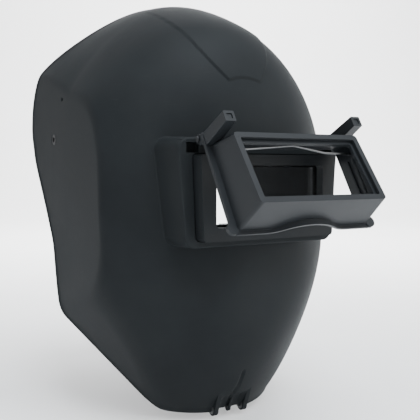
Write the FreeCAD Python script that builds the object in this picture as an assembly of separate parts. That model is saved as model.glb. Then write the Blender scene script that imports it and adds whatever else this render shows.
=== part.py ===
"""Flip-front welding helmet with a ratchet headgear, built as an assembly.

Frame: the origin is the middle of the headgear pivot axis, +Z is up and the
helmet faces -Y. The wearer's left is +X. Lengths are millimetres.
The modelled pose has the flip-up front raised, as a welder leaves it.
"""
import FreeCAD
import Part
import math
import os

V = FreeCAD.Vector
AXIS_X = V(1, 0, 0)
AXIS_Y = V(0, 1, 0)
AXIS_Z = V(0, 0, 1)

# ---- shell -----------------------------------------------------------------
WALL = 2.6
CENTRE = (-37.0, -40.0)          # (y, z) the dome sections shrink towards
# Outline of the dome on the plane of symmetry, (y, z), crown to brow to chin
# and back round behind the head, where the shell is trimmed open.
OUTLINE = [
    (-20, 130), (-69, 114.5), (-107, 91.5), (-135.5, 41.5),
    (-145.5, -21.5), (-147, -82), (-150, -150), (-122, -219),
    (-80, -268), (-10, -280), (60, -240), (95, -160),
    (112, -60), (125, 40), (90, 128), (30, 131),
]
DOME_HALF_WIDTH = 150.0          # where the dome alone would close to a point
FACE_EXPONENTS = (2.0, 1.38)
BACK_EXPONENTS = (2.1, 2.1)
DOME_STATIONS = (0, 18, 36, 54, 70, 84, 96, 106, 115, 122, 128)
SIDE_X = 122.0                   # flat side panels, at the pivot axis
SIDE_TOE_IN = 0.07
JAW_NORMAL = (0.865, -0.222, -0.450)
JAW_DISTANCE = 177.5
# Rear edge of the shell seen from the side, (y, z), chin to crown.
REAR_LOWER = [(-300, -246), (-128, -242), (-86, -238.5), (-13, -158)]
REAR_CURVE = [
    (-9, -150), (-4, -132), (3, -94), (22, -58), (44, -20),
    (52.5, 11), (49, 34), (40, 52), (28, 68),
]
REAR_UPPER = [(2, 118), (-6, 150), (-300, 150)]
PIVOT_HOLE_R = 4.75
STOP_HOLE_R = 1.7
STOP_HOLE_YZ = (-20.0, 35.0)
BROW_STEP = 1.1                  # height of the raised panel on the forehead
BROW_HALF_LOW = 22.0
BROW_HALF_HIGH = 46.0
BROW_Z_LOW = 47.0
BROW_Z_HIGH = 112.0

# ---- window plinth and window frame -----------------------------------------
PLINTH_Y = -160.0
PLINTH_TOP_HALF = 79.0
PLINTH_LOW_HALF = 72.0
PLINTH_Z = (-88.0, -2.0)
PLINTH_R = 9.0
PLINTH_ROOT_Y = -100.0
PLINTH_SPREAD = 5.0
FRAME_Y = -172.0
FRAME_TOP_HALF = 65.5
FRAME_LOW_HALF = 62.5
FRAME_Z = (-82.0, -15.0)
FRAME_FIT = 0.5
FRAME_FLANGE = 7.0
FRAME_FLANGE_T = 3.0
FRAME_BACK_Y = -150.0
WINDOW_HALF = 52.0
WINDOW_Z = (-71.5, -23.5)
LENS_W = 108.0
LENS_H = 51.0
COVER_LENS_T = 2.0
LENS_POCKET_Y = -164.0
LENS_FIT = 0.3
GASKET_T = 1.6
GASKET_BORDER = 2.6
RETAINER_T = 3.2
RETAINER_TAB_X = (-30.0, 30.0)
RETAINER_TAB_W = 14.0
RETAINER_TAB_L = 6.4
RETAINER_TAB_T = 1.8
SCREW_ZX = [(-27.0, 69.3), (-64.0, 68.0)]
SCREW_R = 1.35
SCREW_HEAD_R = 2.7
SCREW_HEAD_T = 1.8

# ---- flip-up front ------------------------------------------------------------
HINGE_Y = -168.5
HINGE_Z = -4.0
HINGE_PIN_R = 1.5
HINGE_FIT = 0.06
HINGE_EAR_R = 4.0
HINGE_LUG_X = (54.0, 59.4)       # ear on the shell
FLIP_EAR_X = (60.0, 66.0)        # ear on the flip-up front
HINGE_PIN_X = (52.5, 66.5)
HINGE_HEAD_R = 2.3
HINGE_HEAD_T = 1.2
HINGE_WEB_Y = -157.5
POCKET_X = (60.2, 71.5)          # recess in the plinth beside each hinge ear
POCKET_Z = (-13.8, -5.8)
POCKET_Y = (-162.0, -151.5)
BOSS_X = (57.6, 74.5)            # thicker wall behind that recess
BOSS_Z = (-16.5, -3.5)
BOSS_Y = (-158.0, -149.0)
REST_LIFT = 31.0                 # degrees the front is raised in the model
FLIP_BACK_Y = -172.5             # back face of the front's flange, closed
FLIP_FLANGE_T = 3.0
FLIP_FLANGE_HALF = 66.0
FLIP_FLANGE_Z = (-77.0, -8.6)
FLIP_BOX_ROOT_HALF = 61.5
FLIP_BOX_ROOT_Z = (-84.5, -11.5)
FLIP_BOX_FRONT_HALF = 58.0
FLIP_BOX_FRONT_Z = (-79.0, -18.3)
FLIP_FRONT_Y = -203.8
FLIP_FRONT_RAKE = 5.0
FLIP_WALL = 2.6
FLIP_RIM_HALF = 53.4
FLIP_RIM_Z = (-74.6, -22.8)
LEVER_X = 60.0
LEVER_Z = -8.2
LEVER_SIZE = (9.0, 8.8)          # at the tip
LEVER_ROOT = (11.0, 10.8)
LEVER_TIP_Y = -206.0
LEVER_WALL = 2.1
LEVER_HOLLOW = 0.9
GRIP_EAR_R = 4.6
GRIP_EAR_XZ = (64.4, -82.5)
NOSE_HALF = 38.0                 # bottom wall's rear edge is bowed forward here
NOSE_DEPTH = 11.0
NOSE_END_R = 28.0                # arcs that lead in and out of the bow
NOSE_LIP_T = 2.0
NOSE_LIP_Z = (-87.2, -82.5)
FLIP_RIB_X = (56.2, 60.0)
FLIP_RIB_Y = (-191.0, -184.0)
FLIP_RIB_Z = (-66.0, -33.0)
FLIP_RIB_T = 1.6
FRONT_WALL = 2.4
FILTER_SEAT_Y = 3.1              # filter frame's face behind the front's rim
FILTER_FRAME_T = 3.0
FILTER_FRAME_MARGIN = (0.6, 1.6)
FILTER_FRAME_BORDER = 3.6
SPRING_WIRE_R = 0.9
SPRING_Y = -190.0
# Its bends, (x, z), from the right wall to the left one.
SPRING_XZ = [(-56.4, -27.0), (2.0, -22.1), (30.0, -28.2), (56.4, -29.2)]

# ---- chin ---------------------------------------------------------------------
CHIN_LUG_X = 15.0
CHIN_LUG_T = 4.0
CHIN_LUG_YZ = (-106.5, -238.2)
CHIN_LUG_R = 5.6
CHIN_LUG_ROOT = 14.0             # how far the lug runs up into the shell
CHIN_BORE_R = 2.6
CHIN_RIB_HALF = 1.3
CHIN_RIB_Y = (-110.0, -102.5)
CHIN_RIB_Z = (-242.0, -227.0)
EYELET_R = 1.6
EYELET_LIP = (1.2, 0.5)          # how far the lip spreads, its thickness

# ---- headgear -------------------------------------------------------------------
BAND_T = 2.2
BAND_H = 24.0
BAND_HALF_W = 80.0
BAND_FRONT_Y = -98.0
BAND_BACK_Y = 92.0
BAND_CORNER_R = 46.0
BAND_TILT = 9.0
BAND_SHIFT = (8.0, 6.0)          # (y, z) of the band's own origin
CROWN_Y = 24.0
CROWN_W = 18.0
CROWN_HALF = 82.2
CROWN_HEIGHT = 90.0
CROWN_SPRING_Z = 12.5            # straight up to here, arched above
CROWN_FOOT_Z = -9.0
STRAP_T = 1.6
STRAP_OVERLAP = 30.0
STRAP_HOLE_PITCH = 8.0
STRAP_HOLE_DY = 4.0
STRAP_HOLE_R = 1.7
RIVET_R = 1.5
RIVET_HEAD_R = 2.6
STRAP_RIVET_DY = 5.0
STRAP_RIVET_Z = -3.0
PAD_T = 5.8
BROW_PAD_HALF = 56.0
BROW_PAD_H = 25.0
NAPE_HALF = (33.0, 10.5)
NAPE_T = 2.2
NAPE_PAD_HALF = (38.0, 12.0)
NAPE_PAD_T = 6.0
STUD_R = 4.69
STUD_SHANK_R = 4.0
STUD_FACE_X = 121.2
ARM_DISC_R = 14.0
ARM_X = (111.0, 117.6)
ARM_Z = (-7.0, 13.0)
ARM_RIVET_YZ = [(14.5, -2.0), (14.5, 8.0)]
ARM_PLATE_T = 2.6
ARM_STEP_Y = 9.0
ARM_END_Y = 18.5
WASHER_R = 10.0
WASHER_T = 0.8
STUD_HEAD_R = 5.4
STUD_HEAD_T = 2.6
STUD_HOLLOW_R = 2.6
RATCHET_HALF_W = 23.0
RATCHET_HALF_H = 16.0
PINION_MODULE = 1.0
PINION_TEETH = 12
TEETH_NEAR = 5.25                # rack tooth tips, from the knob axis
RACK_NEAR = 7.1
RACK_FAR = 11.1
RACK_T = 2.0
RACK_X = (-15.0, 33.0)           # left rack, inner end to outer end
RACK_Y = 94.6
COVER_Y = 97.0
KNOB_Y = 104.5
KNOB_T = 9.0
KNOB_R = 17.0
KNOB_LOBES = 12
KNOB_SHAFT_R = 4.0
KNOB_FLUTE_R = 3.2
KNOB_DISH = (9.0, 12.5, 2.5)     # floor radius, mouth radius, depth
RATCHET_R = 5.2
RATCHET_NOTCHES = 16
RATCHET_Y = (98.2, 100.2)
CHAMBER_R = 10.4
PAWL_RING_R = (9.0, 10.2)
PAWL_T = 1.6
PAWL_TIP_X = 5.6
COVER_SCREW_R = 1.15
COVER_SCREW_HEAD_R = 2.4
COVER_SCREW_SEAT_Y = 102.5
HOUSING_SCREW_X = (-18.0, 18.0)
SLEEVE_X = (25.0, 40.0)


# ---- small helpers --------------------------------------------------------------
def box(x0, x1, y0, y1, z0, z1):
    return Part.makeBox(x1 - x0, y1 - y0, z1 - z0, V(x0, y0, z0))


def rod(point, axis, radius, length):
    return Part.makeCylinder(radius, length, V(*point), axis)


def mirrored(shape):
    return shape.mirror(V(0, 0, 0), AXIS_X)


def both_sides(shape):
    return Part.makeCompound([shape, mirrored(shape)])


def span(sign, near, far):
    """A range on the wearer's left, or its mirror on the right."""
    return (near, far) if sign > 0 else (-far, -near)


def fused(first, others):
    return first.fuse(list(others)).removeSplitter()


def rounded_outline(corners, radii, y):
    """Closed wire in the XZ plane at y with a rounded corner at each point."""
    count = len(corners)
    edges = []
    starts = []
    ends = []
    for i in range(count):
        here = V(corners[i][0], y, corners[i][1])
        before = V(corners[i - 1][0], y, corners[i - 1][1])
        after = V(corners[(i + 1) % count][0], y, corners[(i + 1) % count][1])
        to_before = (before - here).normalize()
        to_after = (after - here).normalize()
        half = math.acos(to_before.dot(to_after)) / 2
        reach = radii[i] / math.tan(half)
        first = here + to_before * reach
        last = here + to_after * reach
        middle_dir = (to_before + to_after).normalize()
        middle = here + middle_dir * (radii[i] / math.sin(half) - radii[i])
        edges.append(Part.Arc(first, middle, last).toShape())
        starts.append(first)
        ends.append(last)
    wire_edges = []
    for i in range(count):
        wire_edges.append(edges[i])
        wire_edges.append(Part.makeLine(ends[i], starts[(i + 1) % count]))
    return Part.Wire(wire_edges)


def trapezoid(top_half, low_half, z_range, radius, y):
    corners = [
        (-top_half, z_range[1]), (top_half, z_range[1]),
        (low_half, z_range[0]), (-low_half, z_range[0]),
    ]
    return rounded_outline(corners, [radius] * 4, y)


def prism(wire, depth):
    return Part.Face(wire).extrude(V(0, depth, 0))


def window_prism(half, z_range, radius, y0, y1):
    return prism(trapezoid(half, half, z_range, radius, y0), y1 - y0)


def tapered(wire_a, wire_b):
    return Part.makeLoft([wire_a, wire_b], True, True)


# ---- the dome -------------------------------------------------------------------
def back_weight(y, z):
    """0 for the face side of the outline, 1 behind the crown and the sides."""
    angle = math.degrees(math.atan2(z - CENTRE[1], y - CENTRE[0]))
    if angle > 90 or angle < -95:
        return 0.0
    if angle > 50:
        t = (90 - angle) / 40
    elif angle < -60:
        t = (angle + 95) / 35
    else:
        t = 1.0
    return t * t * (3 - 2 * t)


def section_scale(x, y, z, half_width):
    weight = back_weight(y, z)
    q = FACE_EXPONENTS[0] + weight * (BACK_EXPONENTS[0] - FACE_EXPONENTS[0])
    p = FACE_EXPONENTS[1] + weight * (BACK_EXPONENTS[1] - FACE_EXPONENTS[1])
    return (1 - (abs(x) / half_width) ** q) ** (1 / p)


def dome_section(x, inset):
    points = []
    for y, z in OUTLINE:
        dy = y - CENTRE[0]
        dz = z - CENTRE[1]
        reach = math.hypot(dy, dz)
        scale = section_scale(x, y, z, DOME_HALF_WIDTH - inset)
        scale = scale * (reach - inset) / reach
        points.append(V(x, CENTRE[0] + dy * scale, CENTRE[1] + dz * scale))
    curve = Part.BSplineCurve()
    curve.interpolate(Points=points, PeriodicFlag=True)
    return Part.Wire([curve.toShape()])


def dome(inset):
    stations = [-x for x in reversed(DOME_STATIONS[1:])] + list(DOME_STATIONS)
    sections = [dome_section(x, inset) for x in stations]
    return Part.makeLoft(sections, True, False)


def outside_of_plane(normal, distance):
    """A large block filling the far side of a plane."""
    direction = V(*normal).normalize()
    size = 600.0
    block = Part.makeBox(size, size, size, V(-size / 2, -size / 2, 0))
    turn = FreeCAD.Rotation(AXIS_Z, direction)
    block.Placement = FreeCAD.Placement(direction * distance, turn)
    return block


def panel_cutters(inset):
    side_normal = (1, -SIDE_TOE_IN, 0)
    side_length = math.hypot(1, SIDE_TOE_IN)
    cutters = []
    for sign in (1, -1):
        side = (sign * side_normal[0], side_normal[1], side_normal[2])
        jaw = (sign * JAW_NORMAL[0], JAW_NORMAL[1], JAW_NORMAL[2])
        cutters.append(outside_of_plane(side, SIDE_X / side_length - inset))
        cutters.append(outside_of_plane(jaw, JAW_DISTANCE - inset))
    return cutters


def dome_with_panels(inset):
    return dome(inset).cut(panel_cutters(inset))


def rear_trim():
    """Prism across the helmet that keeps everything in front of the rear edge."""
    half = 200.0
    lower = [V(-half, y, z) for y, z in REAR_LOWER]
    upper = [V(-half, y, z) for y, z in REAR_UPPER]
    curve = Part.BSplineCurve()
    curve.interpolate([V(-half, y, z) for y, z in REAR_CURVE])
    start = V(-half, REAR_CURVE[0][0], REAR_CURVE[0][1])
    end = V(-half, REAR_CURVE[-1][0], REAR_CURVE[-1][1])
    edges = [Part.makePolygon(lower + [start]), curve.toShape()]
    edges.append(Part.makePolygon([end] + upper + [lower[0]]))
    flat = []
    for item in edges:
        flat.extend(item.Edges)
    wire = Part.Wire(Part.__sortEdges__(flat))
    return Part.Face(wire).extrude(V(2 * half, 0, 0))


def plinth(inset, front_y):
    front = trapezoid(PLINTH_TOP_HALF - inset, PLINTH_LOW_HALF - inset,
                      (PLINTH_Z[0] + inset, PLINTH_Z[1] - inset),
                      PLINTH_R - inset, front_y)
    wide = PLINTH_SPREAD - inset
    back = trapezoid(PLINTH_TOP_HALF + wide, PLINTH_LOW_HALF + wide,
                     (PLINTH_Z[0] - wide, PLINTH_Z[1] + wide),
                     PLINTH_R + wide, PLINTH_ROOT_Y)
    return tapered(front, back)


def brow_panel(skin):
    """Wedge of the dome's skin that stands proud over the forehead."""
    corners = [
        (-BROW_HALF_HIGH, BROW_Z_HIGH), (BROW_HALF_HIGH, BROW_Z_HIGH),
        (BROW_HALF_LOW, BROW_Z_LOW), (-BROW_HALF_LOW, BROW_Z_LOW),
    ]
    column = prism(rounded_outline(corners, [6, 6, 6, 6], -190), 150)
    return skin.common(column)


def hinge_lug(sign):
    """Moulded ear on the plinth that holds one hinge pin."""
    x0, x1 = span(sign, *HINGE_LUG_X)
    barrel = rod((x0, HINGE_Y, HINGE_Z), AXIS_X, HINGE_EAR_R, x1 - x0)
    web = box(x0, x1, HINGE_Y, HINGE_WEB_Y, HINGE_Z - HINGE_EAR_R,
              HINGE_Z + HINGE_EAR_R)
    return fused(barrel, [web])


def hinge_pocket_boss(sign):
    return box(*span(sign, *BOSS_X), *BOSS_Y, *BOSS_Z)


def hinge_pocket(sign):
    return box(*span(sign, *POCKET_X), *POCKET_Y, *POCKET_Z)


def chin_lug(sign):
    x0 = sign * CHIN_LUG_X - CHIN_LUG_T / 2
    x1 = x0 + CHIN_LUG_T
    y, z = CHIN_LUG_YZ
    barrel = rod((x0, y, z), AXIS_X, CHIN_LUG_R, CHIN_LUG_T)
    root = box(x0, x1, y - 2, y + CHIN_LUG_R, z, z + CHIN_LUG_ROOT)
    front = box(x0, x1, y - CHIN_LUG_R, y, z, z + CHIN_LUG_ROOT - 4)
    return fused(barrel, [root, front])


def chin_rib():
    return box(-CHIN_RIB_HALF, CHIN_RIB_HALF, *CHIN_RIB_Y, *CHIN_RIB_Z)


def shell_cuts():
    """Window opening, hinge pockets and every hole in the shell."""
    opening = prism(trapezoid(FRAME_TOP_HALF + FRAME_FIT, FRAME_LOW_HALF + FRAME_FIT,
                              (FRAME_Z[0] - FRAME_FIT, FRAME_Z[1] + FRAME_FIT),
                              3.0 + FRAME_FIT, -175.0), 60)
    cuts = [opening, hinge_pocket(1), hinge_pocket(-1)]
    y, z = CHIN_LUG_YZ
    cuts.append(rod((-2 * CHIN_LUG_X, y, z), AXIS_X, CHIN_BORE_R, 4 * CHIN_LUG_X))
    for sign in (1, -1):
        pin_x = span(sign, HINGE_PIN_X[0] - 2, HINGE_LUG_X[1] + 2)
        cuts.append(rod((pin_x[0], HINGE_Y, HINGE_Z), AXIS_X, HINGE_PIN_R,
                        pin_x[1] - pin_x[0]))
        side = span(sign, SIDE_X - 20, SIDE_X + 20)[0]
        cuts.append(rod((side, 0, 0), AXIS_X, PIVOT_HOLE_R, 40))
        cuts.append(rod((side, *STOP_HOLE_YZ), AXIS_X, STOP_HOLE_R, 40))
        for z, x in SCREW_ZX:
            cuts.append(rod((sign * x, PLINTH_Y + 1.0, z), AXIS_Y, SCREW_R + 0.05, 12))
    return cuts


def make_shell():
    outer = dome_with_panels(0.0)
    outer = outer.fuse(brow_panel(dome(-BROW_STEP)))
    outer = outer.fuse(plinth(0.0, PLINTH_Y))
    inner = dome_with_panels(WALL)
    inner = inner.fuse(plinth(WALL, PLINTH_Y + WALL + 0.4))
    skin = outer.cut(inner).common(rear_trim())
    lugs = [chin_rib()]
    for sign in (1, -1):
        lugs += [hinge_lug(sign), hinge_pocket_boss(sign), chin_lug(sign)]
    skin = skin.fuse(lugs).cut(shell_cuts())
    solids = sorted(skin.Solids, key=lambda s: s.Volume)
    return solids[-1]


# ---- window frame, lens and its fixings -----------------------------------------
def make_window_frame():
    body = prism(trapezoid(FRAME_TOP_HALF, FRAME_LOW_HALF, FRAME_Z, 3.0, FRAME_Y),
                 FRAME_BACK_Y - FRAME_Y)
    grow = FRAME_FLANGE
    back = PLINTH_Y + WALL + 0.4
    flange_z = (FRAME_Z[0] - 2.2, FRAME_Z[1] + 7.0)
    flange = prism(trapezoid(FRAME_TOP_HALF + grow, FRAME_LOW_HALF + grow - 0.5,
                             flange_z, 4.0, back + 0.1), FRAME_FLANGE_T)
    body = fused(body, [flange])
    relief = [hinge_pocket_relief(1), hinge_pocket_relief(-1)]
    window = window_prism(WINDOW_HALF, WINDOW_Z, 3.0, -180, -140)
    mid_z = (WINDOW_Z[0] + WINDOW_Z[1]) / 2
    half_h = LENS_H / 2 + LENS_FIT
    pocket = window_prism(LENS_W / 2 + LENS_FIT, (mid_z - half_h, mid_z + half_h),
                          1.5, LENS_POCKET_Y, -140)
    cuts = [window, pocket] + relief
    for sign in (1, -1):
        for z, x in SCREW_ZX:
            cuts.append(rod((sign * x, PLINTH_Y, z), AXIS_Y, 1.6, 12))
    return body.cut(cuts).removeSplitter()


def hinge_pocket_relief(sign):
    """Corner of the flange cut away around the hinge pocket's boss."""
    return box(*span(sign, BOSS_X[0] - 0.6, 80.0), BOSS_Y[0], BOSS_Y[1] + 1,
               BOSS_Z[0] - 0.5, 0.0)


def lens_sheet(y0, thickness, radius):
    mid_z = (WINDOW_Z[0] + WINDOW_Z[1]) / 2
    z_range = (mid_z - LENS_H / 2, mid_z + LENS_H / 2)
    return window_prism(LENS_W / 2, z_range, radius, y0, y0 + thickness)


def make_cover_lens():
    return lens_sheet(LENS_POCKET_Y + 0.05, COVER_LENS_T, 1.0)


def lens_ring(y0, thickness, border):
    mid_z = (WINDOW_Z[0] + WINDOW_Z[1]) / 2
    hole = window_prism(LENS_W / 2 - border,
                        (mid_z - LENS_H / 2 + border, mid_z + LENS_H / 2 - border),
                        1.5, y0 - 1, y0 + thickness + 1)
    return lens_sheet(y0, thickness, 1.0).cut(hole)


def make_gasket():
    return lens_ring(LENS_POCKET_Y + COVER_LENS_T + 0.15, GASKET_T, GASKET_BORDER)


def make_lens_retainer():
    y0 = LENS_POCKET_Y + COVER_LENS_T + GASKET_T + 0.25
    ring = lens_ring(y0, RETAINER_T, RETAINER_T)
    mid_z = (WINDOW_Z[0] + WINDOW_Z[1]) / 2
    tabs = []
    half = RETAINER_TAB_W / 2
    for x in RETAINER_TAB_X:
        for side in (1, -1):
            z0, z1 = span(side, LENS_H / 2 - RETAINER_T,
                          LENS_H / 2 - RETAINER_T + RETAINER_TAB_T)
            tabs.append(box(x - half, x + half, y0 + RETAINER_T - 0.1,
                            y0 + RETAINER_T - 0.1 + RETAINER_TAB_L,
                            mid_z + z0, mid_z + z1))
    return fused(ring, tabs)


def frame_screw(x, z):
    back = PLINTH_Y + WALL + 0.5 + FRAME_FLANGE_T
    start = PLINTH_Y + 1.1
    shank = rod((x, start, z), AXIS_Y, SCREW_R, back - start)
    head = rod((x, back, z), AXIS_Y, SCREW_HEAD_R, SCREW_HEAD_T)
    slot = box(x - 3, x + 3, back + 1.0, back + 2.0, z - 0.4, z + 0.4)
    return fused(shank, [head]).cut(slot)


def make_frame_screws():
    screws = []
    for sign in (1, -1):
        for z, x in SCREW_ZX:
            screws.append(frame_screw(sign * x, z))
    return Part.makeCompound(screws)


def make_hinge_pin(sign):
    x0, x1 = span(sign, *HINGE_PIN_X)
    pin = rod((x0, HINGE_Y, HINGE_Z), AXIS_X, HINGE_PIN_R, x1 - x0)
    h0, h1 = span(sign, HINGE_PIN_X[1] - 0.2, HINGE_PIN_X[1] - 0.2 + HINGE_HEAD_T)
    head = rod((h0, HINGE_Y, HINGE_Z), AXIS_X, HINGE_HEAD_R, h1 - h0)
    return fused(pin, [head])


def make_eyelets():
    y, z = CHIN_LUG_YZ
    spread, lip = EYELET_LIP
    rings = []
    for sign in (1, -1):
        x0 = sign * CHIN_LUG_X - CHIN_LUG_T / 2 - lip
        tube = rod((x0, y, z), AXIS_X, CHIN_BORE_R, CHIN_LUG_T + 2 * lip)
        lips = [rod((x0, y, z), AXIS_X, CHIN_BORE_R + spread, lip)]
        lips.append(rod((x0 + CHIN_LUG_T + lip, y, z), AXIS_X, CHIN_BORE_R + spread, lip))
        bore = rod((x0 - 1, y, z), AXIS_X, EYELET_R, CHIN_LUG_T + 3)
        rings.append(fused(tube, lips).cut(bore))
    return Part.makeCompound(rings)


# ---- flip-up front (modelled closed, then lifted) ---------------------------------
def lifted(shape):
    copy = shape.copy()
    copy.rotate(V(0, HINGE_Y, HINGE_Z), AXIS_X, -REST_LIFT)
    return copy


def raked(shape):
    """Lean the lens end of the front back by its small rake."""
    mid_z = (FLIP_BOX_FRONT_Z[0] + FLIP_BOX_FRONT_Z[1]) / 2
    copy = shape.copy()
    copy.rotate(V(0, FLIP_FRONT_Y, mid_z), AXIS_X, -FLIP_FRONT_RAKE)
    return copy


def flip_section(half, z_range, inset, radius, y):
    return trapezoid(half - inset, half - inset,
                     (z_range[0] + inset, z_range[1] - inset), radius, y)


def flip_box(inset, front_y, back_y):
    root = flip_section(FLIP_BOX_ROOT_HALF, FLIP_BOX_ROOT_Z, inset, 3.0, back_y)
    front = flip_section(FLIP_BOX_FRONT_HALF, FLIP_BOX_FRONT_Z, inset, 3.0, FLIP_FRONT_Y)
    front = raked(front)
    front.translate(V(0, front_y - FLIP_FRONT_Y, 0))
    return tapered(front, root)


def flip_flange():
    corners = [
        (-FLIP_FLANGE_HALF, FLIP_FLANGE_Z[1]), (FLIP_FLANGE_HALF, FLIP_FLANGE_Z[1]),
        (FLIP_FLANGE_HALF, FLIP_FLANGE_Z[0]), (-FLIP_FLANGE_HALF, FLIP_FLANGE_Z[0]),
    ]
    top = FLIP_BACK_Y - FLIP_FLANGE_T
    plate = prism(rounded_outline(corners, [1.5, 1.5, 7, 7], top), FLIP_FLANGE_T)
    skirt = prism(trapezoid(FLIP_BOX_ROOT_HALF, FLIP_BOX_ROOT_HALF,
                            FLIP_BOX_ROOT_Z, 3.0, top), FLIP_FLANGE_T)
    ears = []
    x, z = GRIP_EAR_XZ
    for sign in (1, -1):
        ears.append(rod((sign * x, top, z), AXIS_Y, GRIP_EAR_R, FLIP_FLANGE_T))
        x0, x1 = span(sign, x - GRIP_EAR_R, FLIP_FLANGE_HALF)
        ears.append(box(x0, x1, top, FLIP_BACK_Y, z, FLIP_FLANGE_Z[0] + 8))
    return fused(plate, [skirt] + ears)


def nose_line(forward, z):
    """Rear edge of the bottom wall: three tangent arcs bowed over the nose."""
    turn = 2 * math.atan(NOSE_DEPTH / NOSE_HALF)
    middle_r = NOSE_HALF / math.sin(turn) - NOSE_END_R + forward
    end_r = NOSE_END_R - forward
    middle_y = FLIP_BACK_Y - NOSE_DEPTH - forward + middle_r
    end_y = FLIP_BACK_Y - NOSE_END_R

    def on_middle(angle):
        return V(middle_r * math.sin(angle), middle_y - middle_r * math.cos(angle), z)

    def on_end(sign, angle):
        x = sign * (NOSE_HALF - end_r * math.sin(angle))
        return V(x, end_y + end_r * math.cos(angle), z)
    arcs = [Part.Arc(on_middle(-turn), on_middle(0), on_middle(turn)).toShape()]
    for sign in (1, -1):
        arcs.append(Part.Arc(on_end(sign, 0), on_end(sign, turn / 2),
                             on_end(sign, turn)).toShape())
    return arcs


def joined_face(edges):
    return Part.Face(Part.Wire(Part.__sortEdges__(edges)))


def nose_cutter():
    low, high = FLIP_BOX_ROOT_Z[0] - 6, FLIP_BOX_ROOT_Z[0] + FLIP_WALL + 2
    a, b = V(-NOSE_HALF, FLIP_BACK_Y, low), V(NOSE_HALF, FLIP_BACK_Y, low)
    back = V(0, 2, 0)
    rest = Part.makePolygon([b, b + back, a + back, a])
    face = joined_face(nose_line(0.0, low) + rest.Edges)
    return face.extrude(V(0, 0, high - low))


def nose_lip():
    """Lip that follows the bowed rear edge and runs out to both grip ears."""
    low, high = NOSE_LIP_Z
    ends = []
    for sign in (1, -1):
        corner = V(sign * NOSE_HALF, FLIP_BACK_Y, low)
        ends.append(Part.makeLine(corner, corner - V(0, NOSE_LIP_T, 0)))
    face = joined_face(nose_line(0.0, low) + nose_line(NOSE_LIP_T, low) + ends)
    lip = face.extrude(V(0, 0, high - low))
    runs = []
    for sign in (1, -1):
        x0, x1 = span(sign, NOSE_HALF, GRIP_EAR_XZ[0] - 2)
        runs.append(box(x0, x1, FLIP_BACK_Y - NOSE_LIP_T, FLIP_BACK_Y, low, high))
    return fused(lip, runs)


def lever(sign):
    """Lift post: tapers to a square tip with a shallow recess in its end."""
    def section(size, y):
        half_w, half_h = size[0] / 2, size[1] / 2
        x = sign * LEVER_X
        corners = [(x - half_w, LEVER_Z + half_h), (x + half_w, LEVER_Z + half_h),
                   (x + half_w, LEVER_Z - half_h), (x - half_w, LEVER_Z - half_h)]
        return rounded_outline(corners, [0.8] * 4, y)
    post = tapered(section(LEVER_SIZE, LEVER_TIP_Y), section(LEVER_ROOT, FLIP_BACK_Y - 0.5))
    inner = (LEVER_SIZE[0] - 2 * LEVER_WALL, LEVER_SIZE[1] - 2 * LEVER_WALL)
    recess = prism(section(inner, LEVER_TIP_Y - 1), 1 + LEVER_HOLLOW)
    return post.cut(recess)


def hinge_ear(sign):
    x0, x1 = span(sign, *FLIP_EAR_X)
    barrel = rod((x0, HINGE_Y, HINGE_Z), AXIS_X, HINGE_EAR_R, x1 - x0)
    web = box(x0, x1, FLIP_BACK_Y - FLIP_FLANGE_T, HINGE_Y, HINGE_Z - 5.4,
              HINGE_Z + HINGE_PIN_R)
    return fused(barrel, [web])


def inner_ribs():
    """Upright ribs on both side walls inside the box."""
    ribs = []
    for sign in (1, -1):
        for y in FLIP_RIB_Y:
            ribs.append(box(*span(sign, *FLIP_RIB_X), y - FLIP_RIB_T / 2,
                            y + FLIP_RIB_T / 2, *FLIP_RIB_Z))
    return ribs


def flip_cavity():
    root_half = FLIP_BOX_ROOT_HALF - FLIP_WALL
    root_z = (FLIP_BOX_ROOT_Z[0] + FLIP_WALL, FLIP_BOX_ROOT_Z[1] - FLIP_WALL)
    mouth = prism(trapezoid(root_half, root_half, root_z, 2.0, FLIP_BACK_Y - 0.5), 4)
    return flip_box(FLIP_WALL, FLIP_FRONT_Y + FRONT_WALL, FLIP_BACK_Y + 0.1).fuse(mouth)


def make_flip_housing():
    body = flip_box(0.0, FLIP_FRONT_Y, FLIP_BACK_Y)
    body = fused(body, [flip_flange(), lever(1), lever(-1), hinge_ear(1), hinge_ear(-1)])
    rim = raked(window_prism(FLIP_RIM_HALF, FLIP_RIM_Z, 1.5,
                             FLIP_FRONT_Y - 6, FLIP_FRONT_Y + 8))
    body = body.cut([flip_cavity(), rim, nose_cutter()]).fuse(nose_lip())
    body = body.fuse([rib.common(flip_box(0.5, FLIP_FRONT_Y + 1, FLIP_BACK_Y))
                      for rib in inner_ribs()])
    pins = []
    for sign in (1, -1):
        x0, x1 = span(sign, FLIP_EAR_X[0] - 2, FLIP_EAR_X[1] + 2)
        pins.append(rod((x0, HINGE_Y, HINGE_Z), AXIS_X, HINGE_PIN_R + HINGE_FIT, x1 - x0))
    body = body.cut(pins).removeSplitter()
    solids = sorted(body.Solids, key=lambda s: s.Volume)
    return lifted(solids[-1])


def filter_ring(y0, half_w, half_h):
    mid_z = (FLIP_RIM_Z[0] + FLIP_RIM_Z[1]) / 2
    border = FILTER_FRAME_BORDER
    outer = window_prism(half_w, (mid_z - half_h, mid_z + half_h), 3.0,
                         y0, y0 + FILTER_FRAME_T)
    inner = window_prism(half_w - border, (mid_z - half_h + border, mid_z + half_h - border),
                         1.2, y0 - 1, y0 + FILTER_FRAME_T + 1)
    return outer.cut(inner)


def make_filter_frame():
    ring = filter_ring(FLIP_FRONT_Y + FILTER_SEAT_Y, LENS_W / 2 + FILTER_FRAME_MARGIN[0],
                       LENS_H / 2 + FILTER_FRAME_MARGIN[1])
    return lifted(raked(ring))


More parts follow.
